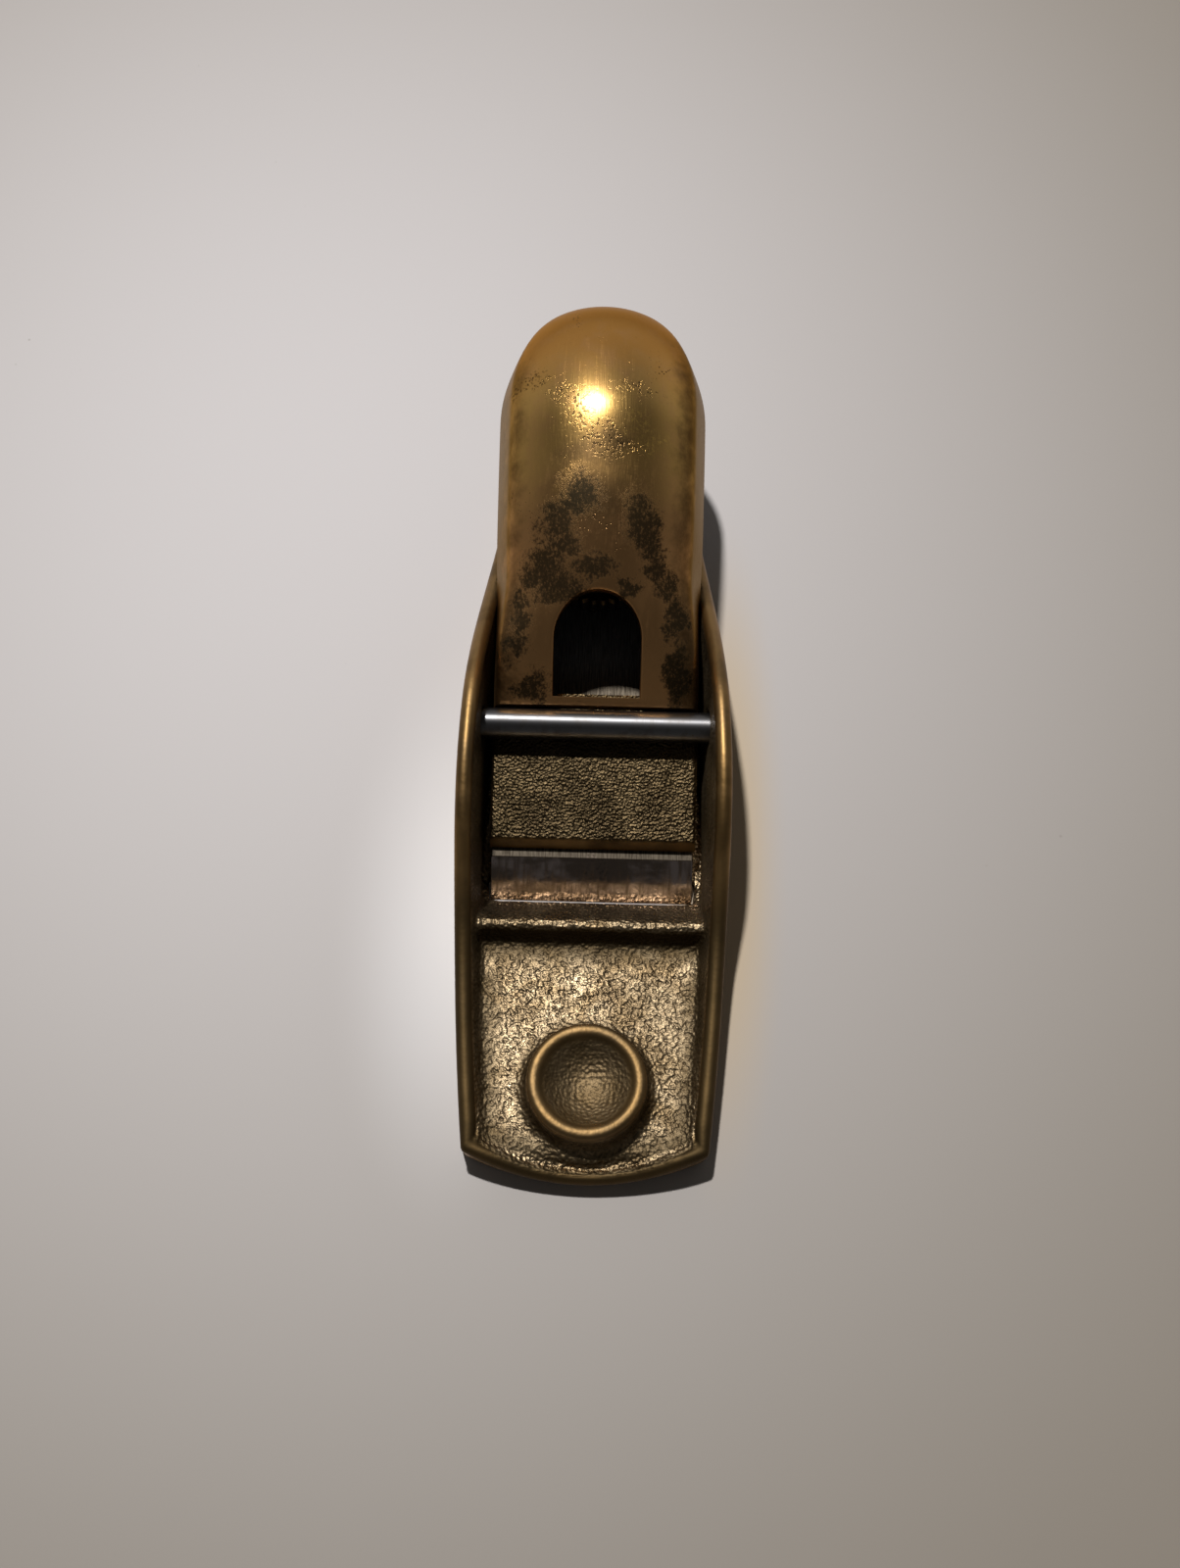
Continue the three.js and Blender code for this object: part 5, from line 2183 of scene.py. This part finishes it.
    def _rough_side(self, bm: BMesh) -> list[float]:
        """How rough-cast the hood is, for each vertex: most at its lower front corners.

        Args:
            bm: the hood.

        Returns:
            The values.
        """
        height, front_span, corner_span, everywhere = 12.0, (12.0, 2.0), (9.0, 15.5), 0.25
        cast = []
        for vertex in bm.verts:
            front = around(self.form.start, front_span, self.sizes.reach(vertex.co.y, height))
            corner = smoothstep(*corner_span, abs(vertex.co.x))
            cast.append(min(1.0, everywhere * front + (1.0 - everywhere) * front * corner))
        return cast

    def _inner_side(self, bm: BMesh) -> list[float]:
        """1 on the hood's inner side and 0 on its outer side, for each vertex.

        Args:
            bm: the hood.

        Returns:
            The values.
        """
        middle, near_edge = 0.5 * self.wall, 0.6 * self.wall
        into_bed = self.sizes.bed_matrix(0.0, 0.0).inverted()
        inner = []
        for vertex in bm.verts:
            x, along, above = into_bed @ vertex.co
            on_edge = abs(x) > self.form.half(along, near_edge)
            outside = on_edge or above > self.form.height(x, along, middle)
            inner.append(0.0 if outside else 1.0)
        return inner

    def _plate_corner(self) -> Vector:
        """The plate's front upper edge, at the middle.

        Returns:
            The point.
        """
        size, lean = self.sizes, self.plate_lean
        above = size.blade_thickness + 0.2
        y = size.nose_y + self.plate_from_nose - lean
        foot = size.on_bed(0.0, size.reach(y, above), above)
        return foot + Vector((0.0, lean, self.plate_front_height))

    def _on_plate(self, point: Vector) -> float:
        """How far a point lies in from the edges of the plate's upper face, or 0 below it.

        Args:
            point: a point of the plate.

        Returns:
            The distance.
        """
        corner = self._plate_corner()
        level = corner.z + (point.y - corner.y) * math.tan(self.plate_angle)
        deepest = 0.4
        if point.z < level - deepest:
            return 0.0
        return min(self.plate_width / 2.0 - abs(point.x), point.y - corner.y)

    def _plate(self) -> BMesh:
        """The front plate: a rough-cast upper face between machined edges.

        Returns:
            The plate.
        """
        into_hood, columns, rows = 0.15, 104, 72
        side_drop, side_reach, front_drop, front_reach = 0.28, 0.7, 0.1, 0.4
        grain, depth, under = 0.62, 0.055, 0.25
        corner = self._plate_corner()
        size = self.sizes
        back = size.on_bed(0.0, self.form.start + self.window_bar - into_hood, 0.0).y
        half = self.plate_width / 2.0
        bm = bmesh.new()
        made = bmesh.ops.create_grid(bm, x_segments=columns, y_segments=rows, size=1.0)
        for vertex in made["verts"]:
            x, y = vertex.co.x * half, blend(corner.y, back, (vertex.co.y + 1.0) / 2.0)
            z = corner.z + (y - corner.y) * math.tan(self.plate_angle)
            side, front = half - abs(x), y - corner.y
            at_side, at_front = max(0.0, 1.0 - side / side_reach), max(0.0, 1.0 - front / front_reach)
            z -= side_drop * at_side**2 + front_drop * at_front**2
            fade = min(smoothstep(0.0, 0.8, side), smoothstep(0.0, 0.5, front))
            z += sand(Vector((x, y, z)), grain) * depth * fade
            vertex.co = Vector((x, y, z))
        made = bmesh.ops.extrude_face_region(bm, geom=list(bm.faces))
        above = size.blade_thickness + under
        for vertex in made["geom"]:
            if isinstance(vertex, BMVert):
                y = vertex.co.y - self.plate_lean * smoothstep(corner.y + 1.0, corner.y, vertex.co.y)
                vertex.co = size.on_bed(vertex.co.x, size.reach(y, above), above)
        return tidy(bm)


@dataclass
class Fittings:
    """Blade, cross pin, lock wheel with its screw, and the adjuster."""

    finishes: Finishes
    sizes: PlaneSizes = SIZES
    wheel_radius: float = 11.0
    wheel_height: float = 4.4
    wheel_knurls: int = 40
    wheel_bore: float = 2.9
    wheel_above_blade: float = 1.0
    knurl_depth: float = 0.45
    knurl_steps: int = 6
    thread_pitch: float = 0.8
    thread_depth: float = 0.42
    screw: tuple[float, float, float] = (3.0, 12.6, 5.4)
    stud: tuple[float, float, float] = (2.4, 27.0, 7.5)
    stud_from_edge: float = 60.0
    slot_width: float = 8.2
    slot_room: Span = (-0.3, 1.9)
    slot_depth: float = 1.8
    nut_bore: float = 2.5
    nut_neck: Point = (4.5, 2.9)
    flange_radius: float = 7.0
    flange_thickness: float = 1.6
    grip_radius: float = 5.4
    grip_height: float = 7.3
    grip_knurls: int = 24

    def build(self) -> None:
        """Makes and dresses every fitting."""
        self._blade()
        self._pin()
        self._wheel()
        self._screws()
        self._nut()

    def _blade(self) -> None:
        """The blade: a flat bar with a bevel, a round tail and a cross slot underneath."""
        size = self.sizes
        half, length, radius = size.blade_width / 2.0, size.blade_length, size.blade_tail_radius
        reach = math.asin(half / radius)
        tail_steps, edge_above, upright, near_top, behind_bevel, rounding = 24, 0.02, 0.5, 3.0, 7.0, 0.18
        outline = [(-half, 0.0), (half, 0.0)]
        for k in range(tail_steps + 1):
            turn = reach * (1.0 - k / (tail_steps / 2.0))
            outline.append((radius * math.sin(turn), length - radius + radius * math.cos(turn)))
        bm = slab(outline, 0.0, size.blade_thickness)
        bevel = size.bevel_angle
        cutting = bmesh.ops.bisect_plane(
            bm, geom=list(bm.verts) + list(bm.edges) + list(bm.faces), plane_co=(0, 0, edge_above),
            plane_no=(0, -math.sin(bevel), math.cos(bevel)), clear_outer=True,
        )
        rim = [e for e in cutting["geom_cut"] if isinstance(e, BMEdge)]
        bmesh.ops.edgeloop_fill(bm, edges=rim)
        sharp = [
            e for e in bm.edges
            if e.calc_face_angle(0.0) > upright and min(v.co.z for v in e.verts) > near_top
            and max(v.co.y for v in e.verts) > behind_bevel
        ]
        bmesh.ops.bevel(bm, geom=sharp, offset=rounding, segments=2, profile=0.5, affect="EDGES",
                        material=-1)
        slot_half = self.slot_width / 2.0
        front, back = (size.flange_from_edge + room for room in self.slot_room)
        slot = [(-slot_half, front), (slot_half, front), (slot_half, back), (-slot_half, back)]
        bm = moved(cut(bm, slab(slot, -2.0, self.slot_depth)), size.bed_matrix(0.0, 0.0))
        finished(tidy(bm), "bevelled_blade", Body.BLADE,
                 self.finishes.blade, ("blade",), 20.0)

    def _pin(self) -> None:
        """The polished cross pin."""
        size = self.sizes
        sunk, chamfer, steps = 0.25, 0.3, 96
        half = OUTLINE.half_width(size.pin_y) - sunk
        bm = laid_across(rod(size.pin_radius, 2.0 * half, chamfer, steps), size)
        finished(bm, "polished_pin", Body.CASTING, self.finishes.pin,
                 ("cross_pin",))

    def _knurled(self, radius: float, knurls: int, depth: float, inset: float) -> list[Vector]:
        """A ring of knurls, drawn in by inset.

        Args:
            radius: radius over the knurls.
            knurls: how many there are.
            depth: how deep they are.
            inset: distance drawn in.

        Returns:
            The ring's points.
        """
        steps, hollow = self.knurl_steps, 1.4
        points = []
        for k in range(knurls * steps):
            tooth = abs((k % steps) / (steps / 2.0) - 1.0)
            reach = radius - inset - depth * tooth**hollow
            turn = 2.0 * math.pi * k / (knurls * steps)
            points.append(Vector((reach * math.cos(turn), reach * math.sin(turn), 0.0)))
        return points

    def _knurled_disc(self, radius: float, knurls: int, depth: float, height: float,
                      bore: float) -> BMesh:
        """A knurled disc with chamfered edges, a shallow recess and a bore.

        Args:
            radius: radius over the knurls.
            knurls: how many there are.
            depth: how deep they are.
            height: height of the disc.
            bore: radius of the bore.

        Returns:
            The disc.
        """
        chamfer_in, chamfer, recess_edge, recess_in, recess = 0.55, 0.5, 2.0, 2.4, 0.35
        count = knurls * self.knurl_steps
        plain = [Vector((math.cos(2 * math.pi * k / count), math.sin(2 * math.pi * k / count), 0.0))
                 for k in range(count)]
        lift = Vector((0.0, 0.0, 1.0))
        rings = [[bore * p for p in plain]]
        edge = ((chamfer_in, 0.0), (0.0, chamfer), (0.0, height - chamfer), (chamfer_in, height))
        for inset, z in edge:
            rings.append([p + lift * z for p in self._knurled(radius, knurls, depth, inset)])
        rings.append([(radius - recess_edge) * p + lift * height for p in plain])
        rings.append([(radius - recess_in) * p + lift * (height - recess) for p in plain])
        rings.append([bore * p + lift * (height - recess) for p in plain])
        skin = LoopSkin(rings[0])
        for ring in rings[1:]:
            skin.grow(ring)
        return tidy(skin.join_ends())

    def _wheel(self) -> None:
        """The knurled lock wheel."""
        size = self.sizes
        bm = self._knurled_disc(self.wheel_radius, self.wheel_knurls, self.knurl_depth,
                                self.wheel_height, self.wheel_bore)
        above = size.blade_thickness + self.wheel_above_blade
        moved(bm, size.bed_matrix(size.wheel_from_edge, above))
        finished(bm, "knurled_wheel", Body.WHEEL, self.finishes.wheel,
                 ("lock_wheel",), 30.0)

    def _threaded(self, radius: float, length: float, plain: float) -> BMesh:
        """A threaded bar along Z from 0, with a plain stretch at its foot.

        Args:
            radius: outer radius.
            length: whole length.
            plain: length without thread.

        Returns:
            The bar.
        """
        profile = [(0.0, 0.0), (radius - 0.35, 0.0), (radius, 0.35), (radius, plain)]
        z = plain
        while z + self.thread_pitch < length - 0.4:
            profile.append((radius - self.thread_depth, z + 0.4 * self.thread_pitch))
            profile.append((radius, z + 0.8 * self.thread_pitch))
            profile.append((radius, z + self.thread_pitch))
            z += self.thread_pitch
        profile += [(radius - 0.4, length), (0.0, length)]
        return turned(profile, 48)

    def _screws(self) -> None:
        """The lock screw and the adjuster's stud."""
        size = self.sizes
        above = size.blade_thickness + 0.2
        screw = moved(self._threaded(*self.screw), size.bed_matrix(size.wheel_from_edge, above))
        finished(screw, "lock_screw_thread", Body.WHEEL,
                 self.finishes.screw, ("lock_screw",), 50.0)
        turn = Matrix.Rotation(-math.pi / 2.0, 4, "X")
        place = size.bed_matrix(self.stud_from_edge, -size.stud_depth) @ turn
        stud = moved(self._threaded(*self.stud), place)
        finished(stud, "adjuster_thread", Body.CASTING,
                 self.finishes.screw, ("adjuster_stud",), 50.0)

    def _nut(self) -> None:
        """The adjuster nut: flange, neck and knurled grip."""
        size = self.sizes
        bore, chamfer = self.nut_bore, 0.3
        radius, thickness = self.flange_radius, self.flange_thickness
        neck, neck_end = self.nut_neck
        flange = turned([
            (bore, 0.0), (radius - chamfer, 0.0), (radius, chamfer), (radius, thickness - chamfer),
            (radius - chamfer, thickness), (neck, thickness), (neck, neck_end), (bore, neck_end),
            (bore, 0.0),
        ], 64)
        grip = self._knurled_disc(self.grip_radius, self.grip_knurls, self.knurl_depth,
                                  self.grip_height, bore)
        bmesh.ops.translate(grip, verts=grip.verts, vec=(0, 0, bore))
        bm = gathered([flange, grip])
        turn = Matrix.Rotation(-math.pi / 2.0, 4, "X")
        place = size.bed_matrix(size.flange_from_edge, -size.stud_depth) @ turn
        moved(bm, place)
        finished(bm, "knurled_nut", Body.NUT, self.finishes.brass,
                 ("adjuster_nut",), 30.0)


@dataclass
class Studio:
    """Table top, lamp, fill and camera."""

    finishes: Finishes
    target: Vector = field(default_factory=lambda: Vector((-0.00062, -0.00235, 0.0)))
    distance: float = 0.36
    elevation: float = math.radians(66.0)
    roll: float = math.radians(1.45)
    lens: float = 50.85
    lamp_way: Vector = field(default_factory=lambda: Vector((-0.17, 0.35, 1.0)))
    lamp_distance: float = 1.6
    lamp_size: float = 0.08
    lamp_power: float = 22.5
    overhead: float = 0.03
    ahead: float = 0.04
    behind: float = 0.32
    beside: float = 0.07
    upwards: Span = (0.25, 0.92)
    backwards: Span = (-0.1, 0.85)
    sideways: Span = (0.2, 0.95)

    def build(self) -> None:
        """Sets the scene round the plane."""
        self._table()
        self._lamp()
        self._fill()
        self._camera()
        bpy.context.scene.view_settings.view_transform = "Standard"

    def _table(self) -> None:
        """A plain pale table top."""
        bm = bmesh.new()
        bmesh.ops.create_grid(bm, x_segments=1, y_segments=1, size=2.0)
        table = object_from(bm, "table_top")
        table.data.materials.append(self.finishes.table.material())

    def _lamp(self) -> None:
        """One soft lamp, high and a little to the left."""
        data = bpy.data.lights.new("lamp", "AREA")
        data.shape, data.size, data.energy = "DISK", self.lamp_size, self.lamp_power
        data.color = (1.0, 0.985, 0.96)
        lamp = bpy.data.objects.new("lamp", data)
        way = self.lamp_way.normalized()
        lamp.location = way * self.lamp_distance
        lamp.rotation_euler = (-way).to_track_quat("-Z", "Y").to_euler()
        bpy.context.scene.collection.objects.link(lamp)

    def _fill(self) -> None:
        """Fill from the room: dim overhead, brightest low down behind the plane."""
        world = bpy.data.worlds.new("room")
        world.use_nodes = True
        bench = NodeBench(world.node_tree)
        axes = bench.axes(bench.node("ShaderNodeTexCoord", {}).outputs["Generated"])
        low = bench.minus(1.0, bench.steps(axes["Z"], *self.upwards))
        back = bench.times(bench.steps(axes["Y"], *self.backwards), self.behind)
        side = bench.times(bench.steps(bench.size(axes["X"]), *self.sideways), self.beside)
        level = bench.plus(bench.plus(back, side), self.ahead)
        level = bench.plus(bench.times(level, low), self.overhead)
        background = world.node_tree.nodes["Background"]
        background.inputs["Color"].default_value = (1.0, 0.98, 0.95, 1.0)
        bench.feed(background.inputs["Strength"], level)
        bpy.context.scene.world = world

    def _camera(self) -> None:
        """The camera at the photograph's angle."""
        data = bpy.data.cameras.new("camera")
        data.lens, data.sensor_width, data.clip_start = self.lens, 36.0, 0.01
        camera = bpy.data.objects.new("camera", data)
        back = Vector((0.0, -math.cos(self.elevation), math.sin(self.elevation)))
        turn = (-back).to_track_quat("-Z", "Y").to_matrix().to_4x4()
        place = Matrix.Translation(self.target + back * self.distance)
        camera.matrix_world = place @ turn @ Matrix.Rotation(self.roll, 4, "Z")
        bpy.context.scene.collection.objects.link(camera)
        bpy.context.scene.camera = camera


def main() -> None:
    """Builds every piece in order, then the studio."""
    logging.basicConfig(level=logging.INFO, format="%(name)s %(message)s")
    finishes = Finishes()
    BodyCasting(finishes).build()
    LeverCap(finishes).build()
    Fittings(finishes).build()
    Studio(finishes).build()


if __name__ == "__main__":
    main()
